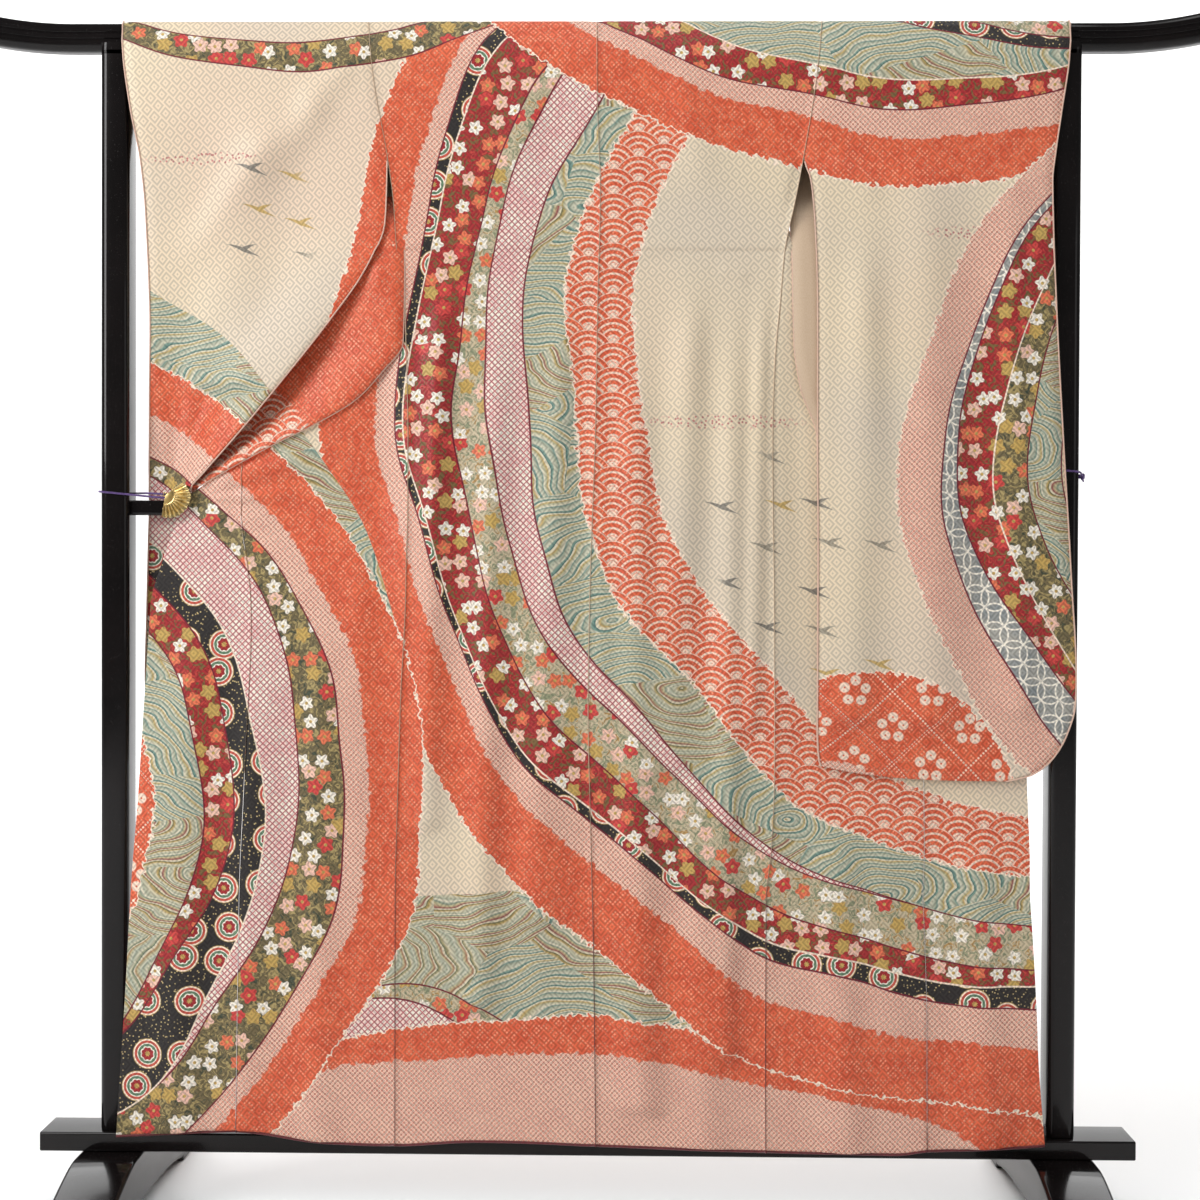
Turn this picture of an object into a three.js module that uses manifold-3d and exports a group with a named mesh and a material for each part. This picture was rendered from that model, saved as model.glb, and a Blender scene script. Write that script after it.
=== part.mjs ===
// A furisode (long-sleeved kimono) shown from its back on a black lacquered kimono stand.
// Millimetres, +Z up. X runs along the rail, the back of the garment faces -Y, and the
// origin is on the floor under the middle of the stand.
import * as THREE from 'three';
import { mergeVertices } from 'three/addons/utils/BufferGeometryUtils.js';
import Module from 'manifold-3d';

const wasm = await Module();
wasm.setup();

// ---------------------------------------------------------------- driving dimensions
const GAP = 0.4;                    // between the garment's pieces
const CLEAR = 0.3;                  // between the stand's parts
const CLOTH = 1.4;                  // silk and lining together
const COLLAR_CLOTH = 2.0;           // folded collar
const OVER_COLLAR_CLOTH = 1.0;
const COLLAR_WIDTH = 56;
const HEM_LEVEL = 110;              // mean height of the hem
const SHOULDER_LEVEL = 1640;        // where the cloth leaves the rail
const ARMHOLE_LEVEL = 1505;         // lower end of the sleeve seam
const UNDERARM_LEVEL = 1372;        // upper end of the side seam
const OPENING_TOP = 1440;           // where the front starts to turn outwards

const RAIL = { halfLength: 871, straight: 735, rise: 15, depth: 34, bottom: 1657, top: 1698, round: 12 };
const RAIL_GROOVE = { depth: 1.2, width: 3.4, slope: 1, tops: [6, -3] };   // tops from the rail's middle
const RAIL_STATIONS = {
  columns: ['along', 'size'],       // share of the curved end, and size of the section there
  rows: [[0, 1], [0.16, 1], [0.32, 1], [0.48, 1], [0.64, 1], [0.8, 1], [0.93, 1], [0.98, 0.96], [1, 0.84]],
};
const POST = { x: 674, width: 40, depth: 50, round: 10, bevel: 1.5, cheekTop: 1667 };
const BAR = { bottom: 997, top: 1018.5, depth: 18, round: 4 };
const FOOT_RAIL = { halfLength: 777, depth: 70, bottom: 90.5, top: 118, round: 3, bevel: 2 };
const FOOT = {
  width: 90, halfLength: 256, topFlat: 62, bevel: 5, toe: 14, instep: [26, 42], shoulder: [90, 58],
};
const FOOT_ARCH = { height: 22, quarter: 110, lip: [178, 10], cusp: [184, 5], notch: [190, 9], sole: 196 };

// ---------------------------------------------------------------- colours and finishes
const finish = (color, roughness, metalness = 0) => ({ color, roughness, metalness });
const SILK = finish('#dcc9b0', 0.55);
const SILK_ORANGE = finish('#d97a58', 0.55);
const SILK_SLEEVE = finish('#cdb49c', 0.55);
const SILK_PINK = finish('#d29c8c', 0.55);
const WINE = finish('#5a1a1c', 0.6);
const LACQUER = finish('#0b0a0a', 0.12);
const GOLD = finish('#7a5f2c', 0.35, 0.9);
const CORD = finish('#3a1a5c', 0.7);

// ---------------------------------------------------------------- small maths
const mix = (a, b, t) => a + (b - a) * t;
const clamp = (v, low, high) => Math.min(high, Math.max(low, v));
const ease = (t) => {
  const k = clamp(t, 0, 1);
  return k * k * (3 - 2 * k);
};
const vec = (x, y, z) => new THREE.Vector3(x, y, z);

// Smooth curve without overshoot through the rows of a table, read at any height z.
function columnOf(table, column) {
  const zAt = table.rows.map((row) => row[0]);
  const value = table.rows.map((row) => row[table.columns.indexOf(column)]);
  const slope = zAt.slice(1).map((z, i) => (value[i + 1] - value[i]) / (z - zAt[i]));
  const tangent = zAt.map((_, i) => {
    if (i === 0) return slope[0];
    if (i === slope.length) return slope[i - 1];
    const [before, after] = [slope[i - 1], slope[i]];
    return before * after <= 0 ? 0 : (2 * before * after) / (before + after);
  });
  return (z) => {
    const last = zAt.length - 1;
    if (z >= zAt[0]) return value[0];
    if (z <= zAt[last]) return value[last];
    const i = zAt.findIndex((_, k) => z >= zAt[k + 1]);
    const step = zAt[i + 1] - zAt[i];
    const t = (z - zAt[i]) / step;
    const rest = 1 - t;
    return value[i] * (1 + 2 * t) * rest * rest + tangent[i] * step * t * rest * rest
      + value[i + 1] * t * t * (3 - 2 * t) - tangent[i + 1] * step * t * t * rest;
  };
}
const curvesOf = (table) => Object.fromEntries(
  table.columns.slice(1).map((column) => [column, columnOf(table, column)]));

// ---------------------------------------------------------------- solids from points
function geometryFrom(points, faces) {
  const volume = faces.reduce((sum, [a, b, c]) => (
    sum + points[a].dot(points[b].clone().cross(points[c]))), 0);
  const ordered = volume > 0 ? faces : faces.map(([a, b, c]) => [a, c, b]);
  const geometry = new THREE.BufferGeometry().setFromPoints(points);
  geometry.setIndex(ordered.flat());
  geometry.computeVertexNormals();
  return geometry;
}

// The direction of a line of points at point i, with the bend of its end stretches.
function direction(line, i) {
  const last = line.length - 1;
  if (i > 0 && i < last) return line[i + 1].clone().sub(line[i - 1]);
  const [first, second, third] = i === 0 ? [0, 1, 2] : [last, last - 1, last - 2];
  const out = line[first].clone().multiplyScalar(-1.5);
  out.addScaledVector(line[second], 2).addScaledVector(line[third], -0.5);
  return i === 0 ? out : out.negate();
}

// The unit normal of a grid of points at every point.
function gridNormals(grid) {
  const lastRow = grid.length - 1;
  return grid.map((row, r) => row.map((_, c) => {
    const along = grid[Math.min(r + 1, lastRow)][c].clone().sub(grid[Math.max(r - 1, 0)][c]);
    return direction(row, c).cross(along).normalize();
  }));
}

// A cloth wall: the grid is its middle surface, and it has the same thickness everywhere.
function wall(grid, thickness) {
  const normals = gridNormals(grid);
  const rows = grid.length;
  const columns = grid[0].length;
  const points = [1, -1].flatMap((sign) => grid.flatMap((row, r) => row.map((point, c) => (
    point.clone().addScaledVector(normals[r][c], (sign * thickness) / 2)))));
  const at = (layer, r, c) => (layer * rows + r) * columns + c;
  const faces = [];
  const quad = (a, b, c, d) => faces.push([a, b, c], [a, c, d]);
  for (let r = 0; r < rows - 1; r += 1) {
    for (let c = 0; c < columns - 1; c += 1) {
      quad(at(0, r, c), at(0, r, c + 1), at(0, r + 1, c + 1), at(0, r + 1, c));
      faces.push([at(1, r, c), at(1, r + 1, c + 1), at(1, r, c + 1)]);
      faces.push([at(1, r, c), at(1, r + 1, c), at(1, r + 1, c + 1)]);
    }
    quad(at(1, r, 0), at(0, r, 0), at(0, r + 1, 0), at(1, r + 1, 0));
    quad(at(0, r, columns - 1), at(1, r, columns - 1), at(1, r + 1, columns - 1), at(0, r + 1, columns - 1));
  }
  for (let c = 0; c < columns - 1; c += 1) {
    quad(at(0, 0, c), at(1, 0, c), at(1, 0, c + 1), at(0, 0, c + 1));
    quad(at(1, rows - 1, c), at(0, rows - 1, c), at(0, rows - 1, c + 1), at(1, rows - 1, c + 1));
  }
  return geometryFrom(points, faces);
}

// A solid through closed rings of points, with flat ends.
function loft(rings) {
  const count = rings[0].length;
  const points = rings.flat();
  const faces = [];
  for (let r = 0; r < rings.length - 1; r += 1) {
    for (let i = 0; i < count; i += 1) {
      const a = r * count + i;
      const b = r * count + ((i + 1) % count);
      faces.push([a, b, b + count], [a, b + count, a + count]);
    }
  }
  const outline = rings[0].map((point) => new THREE.Vector2(point.y, point.z));
  const start = (rings.length - 1) * count;
  for (const triangle of THREE.ShapeUtils.triangulateShape(outline, [])) {
    const corners = triangle.map((i) => outline[i]);
    const follows = THREE.ShapeUtils.area(corners) * THREE.ShapeUtils.area(outline) > 0;
    const [a, b, c] = follows ? triangle : triangle.slice().reverse();
    faces.push([c, b, a], [start + a, start + b, start + c]);
  }
  return geometryFrom(points, faces);
}

function roundedRectangle(width, height, radius) {
  const shape = new THREE.Shape();
  const [w, h] = [width / 2, height / 2];
  shape.moveTo(w, -h + radius);
  shape.lineTo(w, h - radius);
  shape.absarc(w - radius, h - radius, radius, 0, Math.PI / 2);
  shape.lineTo(-w + radius, h);
  shape.absarc(-w + radius, h - radius, radius, Math.PI / 2, Math.PI);
  shape.lineTo(-w, -h + radius);
  shape.absarc(-w + radius, -h + radius, radius, Math.PI, Math.PI * 1.5);
  shape.lineTo(w - radius, -h);
  shape.absarc(w - radius, -h + radius, radius, Math.PI * 1.5, Math.PI * 2);
  return shape;
}

function extrude(shape, length, bevel, curveSegments) {
  return new THREE.ExtrudeGeometry(shape, {
    depth: length - 2 * bevel,
    bevelEnabled: bevel > 0,
    bevelThickness: bevel,
    bevelSize: bevel,
    bevelOffset: -bevel,
    bevelSegments: 2,
    curveSegments,
  }).translate(0, 0, bevel);
}

// Turns a shape drawn as (Y, Z) and extruded upwards so that it runs along X.
const ALONG_X = new THREE.Matrix4().set(0, 0, 1, 0, 1, 0, 0, 0, 0, 1, 0, 0, 0, 0, 0, 1);

// ---------------------------------------------------------------- booleans
function toManifold(geometry) {
  const bare = geometry.clone();
  bare.deleteAttribute('normal');
  bare.deleteAttribute('uv');
  const merged = mergeVertices(bare, 1e-4);
  return new wasm.Manifold(new wasm.Mesh({
    numProp: 3,
    vertProperties: new Float32Array(merged.attributes.position.array),
    triVerts: new Uint32Array(merged.index.array),
  }));
}

function fromManifold(solid) {
  const mesh = solid.getMesh();
  const geometry = new THREE.BufferGeometry();
  geometry.setAttribute('position', new THREE.BufferAttribute(mesh.vertProperties, 3));
  geometry.setIndex(new THREE.BufferAttribute(mesh.triVerts, 1));
  geometry.computeVertexNormals();
  return geometry;
}

// ---------------------------------------------------------------- the group
const group = new THREE.Group();
function add(name, geometry, look) {
  const mesh = new THREE.Mesh(geometry, new THREE.MeshStandardMaterial(look));
  mesh.name = name;
  group.add(mesh);
  return mesh;
}

// ---------------------------------------------------------------- garment tables
// Each table has a row per height. The first column is the height z.
const CENTRE = {
  columns: ['z', 'x'],
  rows: [[1700, 10], [1597, 11], [1442, 16], [1302, 13], [1133, 11], [893, 4], [737, 2], [596, 5], [383, 11], [110, 15]],
};

// Depth of the back, and of the fronts where they hang behind it (y far) and beside it (y out).
const BACK_DEPTH = {
  columns: ['z', 'y'],
  rows: [[1640, -29], [1420, -30], [1377, -31.5], [1369, -30], [1000, -33], [600, -36], [300, -39.5], [110, -42]],
};

// seam: side edge of the body; front, okumi: widths; swung: share of the front that faces back.
const HALF_COLUMNS = ['z', 'seam', 'front', 'okumi', 'swung', 'outY', 'farY', 'taken'];
const LEFT_HALF = {
  columns: HALF_COLUMNS,
  rows: [
    [1700, -314, 235, 0, 0, -27, 29, 1],
    [1640, -308, 235, 0, 0, -27, 29, 0.98],
    [1597, -302, 235, 0, 0, -27, 26, 0.96],
    [1505, -285, 235, 0, 0, -26, 14, 0.92],
    [1440, -276, 235, 12, 0, -26, 4, 0.9],
    [1372, -271, 235, 30, 0.01, -25, -4, 0.9],
    [1300, -259, 235, 44, 0.09, -24, -10, 0.9],
    [1224, -257, 235, 60, 0.16, -23, -12, 0.9],
    [1160, -255, 236, 70, 0.28, -22, -12.5, 0.92],
    [1110, -254, 237, 76, 0.53, -21.5, -13, 0.94],
    [1060, -254, 238, 84, 0.82, -20.5, -13.5, 0.96],
    [1035, -254, 239, 87, 0.91, -18.5, -13.5, 1],
    [1010, -254, 239, 91, 1, -19, -13.5, 1],
    [997, -254, 239, 92, 1, -19.5, -13.5, 1],
    [933, -256, 228, 120, 1, -25, -20, 1],
    [869, -257, 220, 143, 1, -30, -25, 1],
    [748, -263, 215, 149, 1, -33.5, -28, 1],
    [606, -267, 217, 151, 1, -36, -31, 1],
    [464, -270, 220, 155, 1, -38, -33, 1],
    [110, -269, 225, 171, 1, -42, -37, 1],
  ],
};
const RIGHT_HALF = {
  columns: HALF_COLUMNS,
  rows: [
    [1700, 328, 232, 0, 0, -27, 29, 1],
    [1640, 322, 232, 0, 0, -27, 29, 0.98],
    [1597, 317, 233, 0, 0, -27, 26, 0.96],
    [1505, 302, 235, 0, 0, -26, 14, 0.92],
    [1440, 290, 235, 12, 0, -26, 4, 0.9],
    [1372, 276, 235, 30, 0.01, -25, -4, 0.9],
    [1300, 270, 235, 44, 0.08, -25, -10, 0.9],
    [1220, 263, 235, 60, 0.14, -25, -12, 0.9],
    [1120, 260, 236, 76, 0.2, -25, -13, 0.92],
    [1000, 261, 236, 95, 0.33, -25, -13, 0.94],
    [900, 263, 225, 125, 0.48, -25, -14, 0.96],
    [800, 264, 215, 139, 0.66, -25, -16, 1],
    [700, 265, 212, 144, 0.88, -26, -20, 1],
    [640, 265, 211, 145, 1, -28, -23, 1],
    [526, 261, 216, 148, 1, -33, -28, 1],
    [455, 254, 221, 150, 1, -36, -31, 1],
    [260, 254, 227, 155, 1, -40, -35, 1],
    [110, 255, 227, 165, 1, -42, -37, 1],
  ],
};

// Height of the hem along X, which dips between the seams.
const HEM = {
  columns: ['x', 'z'],
  rows: [[650, 115], [560, 109], [482, 106], [440, 101], [255, 103], [15, 110], [-149, 114], [-270, 108],
    [-363, 110], [-494, 125], [-666, 117]],
};

// Long soft folds of the panels: height range, place at its ends, how far they stand out, and width.
const DRAPES = {
  columns: ['top', 'bottom', 'xTop', 'xBottom', 'depth', 'width'],
  rows: [
    [1330, 300, -128, -150, 4, 24],
    [1340, 160, 62, 80, 5, 30],
    [1360, 240, 205, 196, 4, 20],
    [1345, 700, 245, 232, 3, 12],
    [900, 112, -372, -380, 3, 26],
    [880, 112, -560, -580, 4, 30],
    [600, 112, 350, 368, 4, 28],
    [590, 112, 548, 566, 4, 26],
    [1540, 700, 470, 486, 4, 40],
    [1500, 720, 590, 610, 3, 24],
    [1600, 1180, -470, -520, 4, 46],
  ],
};

// Sleeves: a front layer towards -Y and a back layer, both open at the mouth near the shoulder.
const SLEEVE_COLUMNS = ['z', 'inner', 'outer', 'innerY', 'outerY'];
const RIGHT_SLEEVE = {
  side: 1,
  near: {
    columns: SLEEVE_COLUMNS,
    rows: [
      [1700, 328, 677, -29, -29],
      [1640, 322, 673, -29, -29],
      [1568, 312, 663, -29.5, -29.5],
      [1505, 302, 654, -30, -31],
      [1470, 312, 650, -33, -33],
      [1407, 318, 651, -35.5, -35.5],
      [1302, 322, 655, -37, -37],
      [1106, 323, 666, -38, -38],
      [910, 325, 679, -38, -38],
      [769, 325, 687, -38, -38],
      [734, 325, 686, -38, -38],
      [691, 325, 674, -38, -38],
      [656, 326, 653, -38, -38],
      [635, 328, 625, -38, -38],
      [626, 331, 590, -38, -38],
    ],
  },
  far: {
    columns: SLEEVE_COLUMNS,
    rows: [
      [1700, 328, 677, 29, 29],
      [1640, 322, 673, 29, 29],
      [1568, 312, 644, 24, 29],
      [1505, 302, 643, 14, 22],
      [1470, 312, 644, 2, 4],
      [1407, 318, 646, -22, -20],
      [1360, 320, 652, -30, -29.5],
      [1302, 322, 655, -32, -32],
      [1106, 323, 666, -33.5, -33.5],
      [910, 325, 679, -33.5, -33.5],
      [769, 325, 687, -33.5, -33.5],
      [734, 325, 686, -33.5, -33.5],
      [691, 325, 674, -33.5, -33.5],
      [656, 326, 653, -33.5, -33.5],
      [635, 328, 625, -33.5, -33.5],
      [626, 331, 590, -33.5, -33.5],
    ],
  },
  levels: [1640, 1600, 1560, 1505, 1465, 1420, 1360, 1280, 1170, 1050, 910, 790, 734, 691, 656, 635, 626],
};
const LEFT_SLEEVE = {
  side: -1,
  near: {
    columns: SLEEVE_COLUMNS,
    rows: [
      [1700, -314, -664, -29, -29],
      [1640, -308, -659, -29, -29],
      [1569, -297, -649, -29.5, -28],
      [1505, -285, -638, -30, -20],
      [1442, -286, -633, -31, -12],
      [1407, -288, -632, -32, -8],
      [1343, -316, -630, -33, -3],
      [1273, -365, -629, -33, 2],
      [1167, -450, -631, -31, 7],
      [1060, -542, -633, -28, 11.5],
      [1039, -562, -633, -26.5, 12],
      [1030, -568, -633, -11, 12],
      [1024, -571, -633, 3, 12.5],
      [1021, -572, -633, 11.5, 13],
      [1008, -568, -633, 13, 13],
      [960, -510, -635, 14, 14],
      [848, -450, -638, 15, 15],
      [762, -430, -640, 15, 15],
      [720, -426, -635, 15, 15],
      [684, -424, -625, 15, 15],
      [649, -422, -606, 15, 15],
      [633, -420, -580, 15, 15],
      [626, -420, -545, 15, 15],
    ],
  },
  far: {
    columns: SLEEVE_COLUMNS,
    rows: [
      [1700, -314, -664, 29, 29],
      [1640, -308, -659, 29, 29],
      [1569, -297, -649, 24, 29],
      [1505, -285, -638, 14, 26],
      [1442, -285, -633, -4, 22],
      [1407, -285, -632, -16, 20],
      [1343, -292, -630, -27, 18],
      [1240, -312, -629, -27.5, 18],
      [1163, -327, -631, -26.5, 18],
      [1125, -390, -632, -25, 18],
      [1100, -442, -632, -24, 18],
      [1060, -515, -633, -24, 19],
      [1039, -552, -633, -22.5, 19],
      [1034, -560, -633, -8, 19.5],
      [1030, -566, -633, 4, 20],
      [1026, -568, -633, 15, 20],
      [1008, -564, -633, 20, 20],
      [960, -506, -635, 19, 19],
      [848, -446, -638, 19, 19],
      [762, -426, -640, 19, 19],
      [720, -422, -635, 19, 19],
      [684, -420, -625, 19, 19],
      [649, -418, -606, 19, 19],
      [633, -416, -580, 19, 19],
      [626, -416, -545, 19, 19],
    ],
  },
  levels: [1640, 1600, 1560, 1505, 1442, 1372, 1310, 1240, 1163, 1125, 1100, 1070, 1048, 1039, 1034, 1030,
    1026, 1021, 1008, 960, 848, 720, 684, 649, 633, 626],
};

const SHARED_LEVELS = [1640, 1600, 1560, 1505];
const BACK_LEVELS = [110, 200, 320, 460, 600, 740, 880, 1000, 1120, 1240, 1330, 1369, 1377, 1440,
  1505, 1560, 1600, 1640];
const FRONT_LEVELS = [...SHARED_LEVELS, 1460, 1415, 1372, 1330, 1285, 1240, 1195, 1150, 1110, 1070,
  1035, 1022, 1016, 1010, 997, 950, 870, 800, 720, 640, 500, 350, 220, 110];
const OKUMI_TOP = 1460;
const COLLAR_END = { left: 1035, right: 870 };        // heights of its two lower ends

// ---------------------------------------------------------------- garment surfaces
const centreX = columnOf(CENTRE, 'x');
const backY = columnOf(BACK_DEPTH, 'y');
const hemZ = columnOf(HEM, 'z');
const HALVES = [
  { side: -1, name: 'left', at: curvesOf(LEFT_HALF) },
  { side: 1, name: 'right', at: curvesOf(RIGHT_HALF) },
];

// How far the long folds bring the cloth towards -Y.
function drape(x, z) {
  return DRAPES.rows.reduce((sum, [top, bottom, xTop, xBottom, depth, width]) => {
    const along = (top - z) / (top - bottom);
    if (along <= 0 || along > 1) return sum;
    const away = (x - mix(xTop, xBottom, along)) / width;
    return sum + depth * Math.exp(-away * away) * ease(along * 4);
  }, 0);
}

// The hem's own curve, which fades out above the hem.
const HEM_FADE = 250;
const hemShift = (x, z) => (hemZ(x) - HEM_LEVEL) * clamp(1 - (z - HEM_LEVEL) / HEM_FADE, 0, 1);

// The cloth's way over the rail, from the viewer's side to the far side, as (y, z).
const REST = 2.2;                   // from the rail's surface to the middle of the cloth
const BEHIND_POST = POST.depth / 2 + 2;
const OVER_RAIL = (() => {
  const radius = RAIL.round + REST;
  const centreY = RAIL.depth / 2 - RAIL.round;
  const centreZ = RAIL.top - RAIL.round;
  const half = [90, 45, 0].map((degrees) => {
    const angle = THREE.MathUtils.degToRad(degrees);
    return [centreY + radius * Math.cos(angle), centreZ + radius * Math.sin(angle)];
  });
  const farSide = [...half, [BEHIND_POST, POST.cheekTop]];
  return [...farSide.map(([y, z]) => [-y, z]).reverse(), ...farSide];
})();

// A point of the front, okumi or collar: s is the distance along the cloth from the side seam.
// The cloth first runs outwards beside the back, turns round, and comes back behind it.
const SEAM_EASE = 40;
function turnAt(half, z) {
  const { at } = half;
  const reach = at.swung(z) * (at.front(z) + at.okumi(z));
  const outY = mix(backY(z), at.outY(z), ease(reach / SEAM_EASE));
  const radius = (at.farY(z) - outY) / 2;
  return { reach, outY, radius, end: reach + Math.PI * radius };
}
function frontPoint(half, s, z) {
  const { side, at } = half;
  const seam = at.seam(z);
  const { reach, outY, radius, end } = turnAt(half, z);
  let x = seam + side * (reach - at.taken(z) * (s - end));
  let y = at.farY(z);
  if (s <= reach) {
    x = seam + side * s;
    y = mix(backY(z), at.outY(z), ease(s / SEAM_EASE)) - drape(x, z);
  } else if (s < end) {
    const angle = (s - reach) / radius;
    x = seam + side * (reach + radius * Math.sin(angle));
    y = outY + radius * (1 - Math.cos(angle)) - drape(x, z) * (1 - (s - reach) / (end - reach));
  }
  const turned = ease((OPENING_TOP - z) / (OPENING_TOP - UNDERARM_LEVEL));
  const straightX = seam - side * at.taken(z) * s;
  x = mix(straightX, x, turned);
  y = mix(at.farY(z), y, turned);
  return vec(x, y, z + hemShift(x, z));
}

// Distances along the cloth from `from` to `to`, close together where the cloth turns.
const SMALLEST_CELL = 1.2;
function stops(half, z, from, to, [before, inTurn, after]) {
  const cell = Math.min(SMALLEST_CELL, (0.55 * (to - from)) / (before + inTurn + after));
  const { reach, end } = turnAt(half, z);
  const start = clamp(reach, from + before * cell, to - (after + inTurn) * cell);
  const stop = clamp(end, start + inTurn * cell, to - after * cell);
  const list = [];
  for (let i = 0; i < before; i += 1) list.push(mix(from, start, i / before));
  for (let i = 0; i < inTurn; i += 1) list.push(mix(start, stop, i / inTurn));
  for (let i = 0; i <= after; i += 1) list.push(mix(stop, to, i / after));
  return list;
}

// Cells before, in and after the turn.
const BODY_SPLIT = [3, 4, 4];
const OKUMI_SPLIT = [2, 4, 2];
const COLLAR_SPLIT = [0, 4, 2];
const NECK_ROWS = { z: [1658, 1650], reach: [3, 62] };   // the neckline's height and half width

// The neckline's depth behind the rail, easing down to the fronts.
function neckY(half, z) {
  const down = (POST.cheekTop - z) / (POST.cheekTop - SHOULDER_LEVEL);
  return mix(BEHIND_POST, half.at.farY(SHOULDER_LEVEL), down);
}

function bodyGrid(half) {
  const { side, at } = half;
  const frontStops = (z) => stops(half, z, GAP / 2, at.front(z) - GAP / 2, BODY_SPLIT);
  const count = BODY_SPLIT.reduce((a, b) => a + b, 0);
  const evenly = Array.from({ length: count + 1 }, (_, i) => i / count);
  const top = frontStops(SHOULDER_LEVEL).map((s) => s / at.front(SHOULDER_LEVEL));
  const edge = (z) => at.seam(z) - (side * GAP) / 2;
  const row = (z, y, share, innerX) => share.map((t, i) => {
    const x = mix(edge(z), innerX, t);
    return vec(x, typeof y === 'function' ? y(x, i) : y, z + hemShift(x, z));
  });
  const middle = (z) => centreX(z) + (side * GAP) / 2;
  const rows = BACK_LEVELS.map((z) => row(z, (x) => backY(z) - drape(x, z), evenly, middle(z)));
  OVER_RAIL.forEach(([y, z], k) => {
    const share = evenly.map((t, i) => mix(t, top[i] / top[count], k / (OVER_RAIL.length - 1)));
    rows.push(row(z, y, share, middle(z)));
  });
  const topShare = top.map((t) => t / top[count]);
  NECK_ROWS.z.forEach((z, k) => {
    rows.push(row(z, neckY(half, z), topShare, centreX(z) + side * NECK_ROWS.reach[k]));
  });
  FRONT_LEVELS.forEach((z) => rows.push(frontStops(z).map((s) => frontPoint(half, s, z))));
  return rows;
}

// The okumi keeps its distance from the front also where their seam runs across the turn.
const OKUMI_GAP = 0.55;
const WIDEST_GAP = 3;
const SEAM_SPAN = 20;
function okumiStart(half, z) {
  const { at } = half;
  const seamX = (height) => frontPoint(half, at.front(height), height).x;
  const slope = (seamX(z + SEAM_SPAN) - seamX(z - SEAM_SPAN)) / (2 * SEAM_SPAN);
  return at.front(z) + Math.min(OKUMI_GAP * Math.hypot(1, slope), WIDEST_GAP);
}
const okumiGrid = (half) => FRONT_LEVELS.filter((z) => z <= OKUMI_TOP).map((z) => {
  const to = half.at.front(z) + half.at.okumi(z) - GAP / 2;
  return stops(half, z, okumiStart(half, z), to, OKUMI_SPLIT).map((s) => frontPoint(half, s, z));
});

// The collar's rows run from the lower end of the left front, round the neck, to the right one.
const COLLAR_GAP = 0.48;            // from the seam line to the collar's edge
const NECK_FREE_EDGE = { columns: ['halfWidth', 'z'], rows: [[36, 1580], [31, 1597], [20, 1607], [3, 1612]] };
function collarHalf(half) {
  const { side, name, at } = half;
  const rows = FRONT_LEVELS.filter((z) => z >= COLLAR_END[name] && z < 1600).map((z) => {
    const from = at.front(z) + at.okumi(z) + COLLAR_GAP;
    return stops(half, z, from, from + COLLAR_WIDTH, COLLAR_SPLIT).map((s) => frontPoint(half, s, z));
  }).reverse();
  const sewn = [1600, SHOULDER_LEVEL].map((z) => frontPoint(half, at.front(z) + GAP / 2, z));
  const neck = NECK_ROWS.z.map((z, k) => (
    vec(centreX(z) + side * NECK_ROWS.reach[k], neckY(half, z), z - 2 * GAP)
  )).reverse();
  const columns = COLLAR_SPLIT.reduce((a, b) => a + b, 0);
  [...sewn, ...neck].forEach((edge, k) => {
    const [halfWidth, z] = NECK_FREE_EDGE.rows[k];
    const free = vec(centreX(z) + side * halfWidth, at.farY(SHOULDER_LEVEL), z);
    rows.push(Array.from({ length: columns + 1 }, (_, i) => edge.clone().lerp(free, i / columns)));
  });
  return rows;
}

const SLEEVE_CELLS = 8;
const SLEEVE_HEM = { lift: 20, height: 120 };         // how far the right sleeve's inner corner rises
const GATHER_TOP = 1060;                              // below it the left sleeve is held by the clip
function sleeveGrid(sleeve, half) {
  const layers = [curvesOf(sleeve.near), curvesOf(sleeve.far)];
  const hangs = sleeve.side > 0;
  const lowest = sleeve.levels[sleeve.levels.length - 1];
  const rowAt = (layer, z) => {
    const at = layers[layer];
    const sewn = z >= ARMHOLE_LEVEL;
    const inner = sewn ? half.at.seam(z) + (sleeve.side * GAP) / 2 : at.inner(z);
    const bodyY = layer === 0 ? backY(z) : half.at.farY(z);
    const innerY = sewn ? bodyY : at.innerY(z);
    const folds = (layer === 0 || z < UNDERARM_LEVEL) && (hangs || z >= GATHER_TOP);
    const low = clamp(1 - (z - lowest) / SLEEVE_HEM.height, 0, 1);
    return Array.from({ length: SLEEVE_CELLS + 1 }, (_, i) => {
      const t = i / SLEEVE_CELLS;
      const x = mix(inner, at.outer(z), t);
      const y = mix(innerY, at.outerY(z), ease(hangs ? t : t * 1.5));
      const rise = hangs ? SLEEVE_HEM.lift * (1 - t) ** 3 * low : 0;
      return vec(x, y - (folds ? drape(x, z) : 0), z + rise);
    });
  };
  const near = sleeve.levels.map((z) => rowAt(0, z)).reverse();
  const far = sleeve.levels.map((z) => rowAt(1, z));
  const over = OVER_RAIL.map(([y, z]) => {
    const inner = half.at.seam(z) + (sleeve.side * GAP) / 2;
    const outer = layers[0].outer(z);
    return Array.from({ length: SLEEVE_CELLS + 1 }, (_, i) => vec(mix(inner, outer, i / SLEEVE_CELLS), y, z));
  });
  return [...near, ...over, ...far];
}

const bodyGrids = HALVES.map(bodyGrid);
const okumiGrids = HALVES.map(okumiGrid);
const collarRows = [...collarHalf(HALVES[0]), ...collarHalf(HALVES[1]).reverse()];

HALVES.forEach((half, i) => {
  add(`body_${half.name}`, wall(bodyGrids[i], CLOTH), SILK);
  add(`okumi_${half.name}`, wall(okumiGrids[i], CLOTH), SILK_PINK);
});
add('sleeve_left', wall(sleeveGrid(LEFT_SLEEVE, HALVES[0]), CLOTH), SILK_ORANGE);
add('sleeve_right', wall(sleeveGrid(RIGHT_SLEEVE, HALVES[1]), CLOTH), SILK_SLEEVE);
add('collar', wall(collarRows, COLLAR_CLOTH), SILK);

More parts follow.
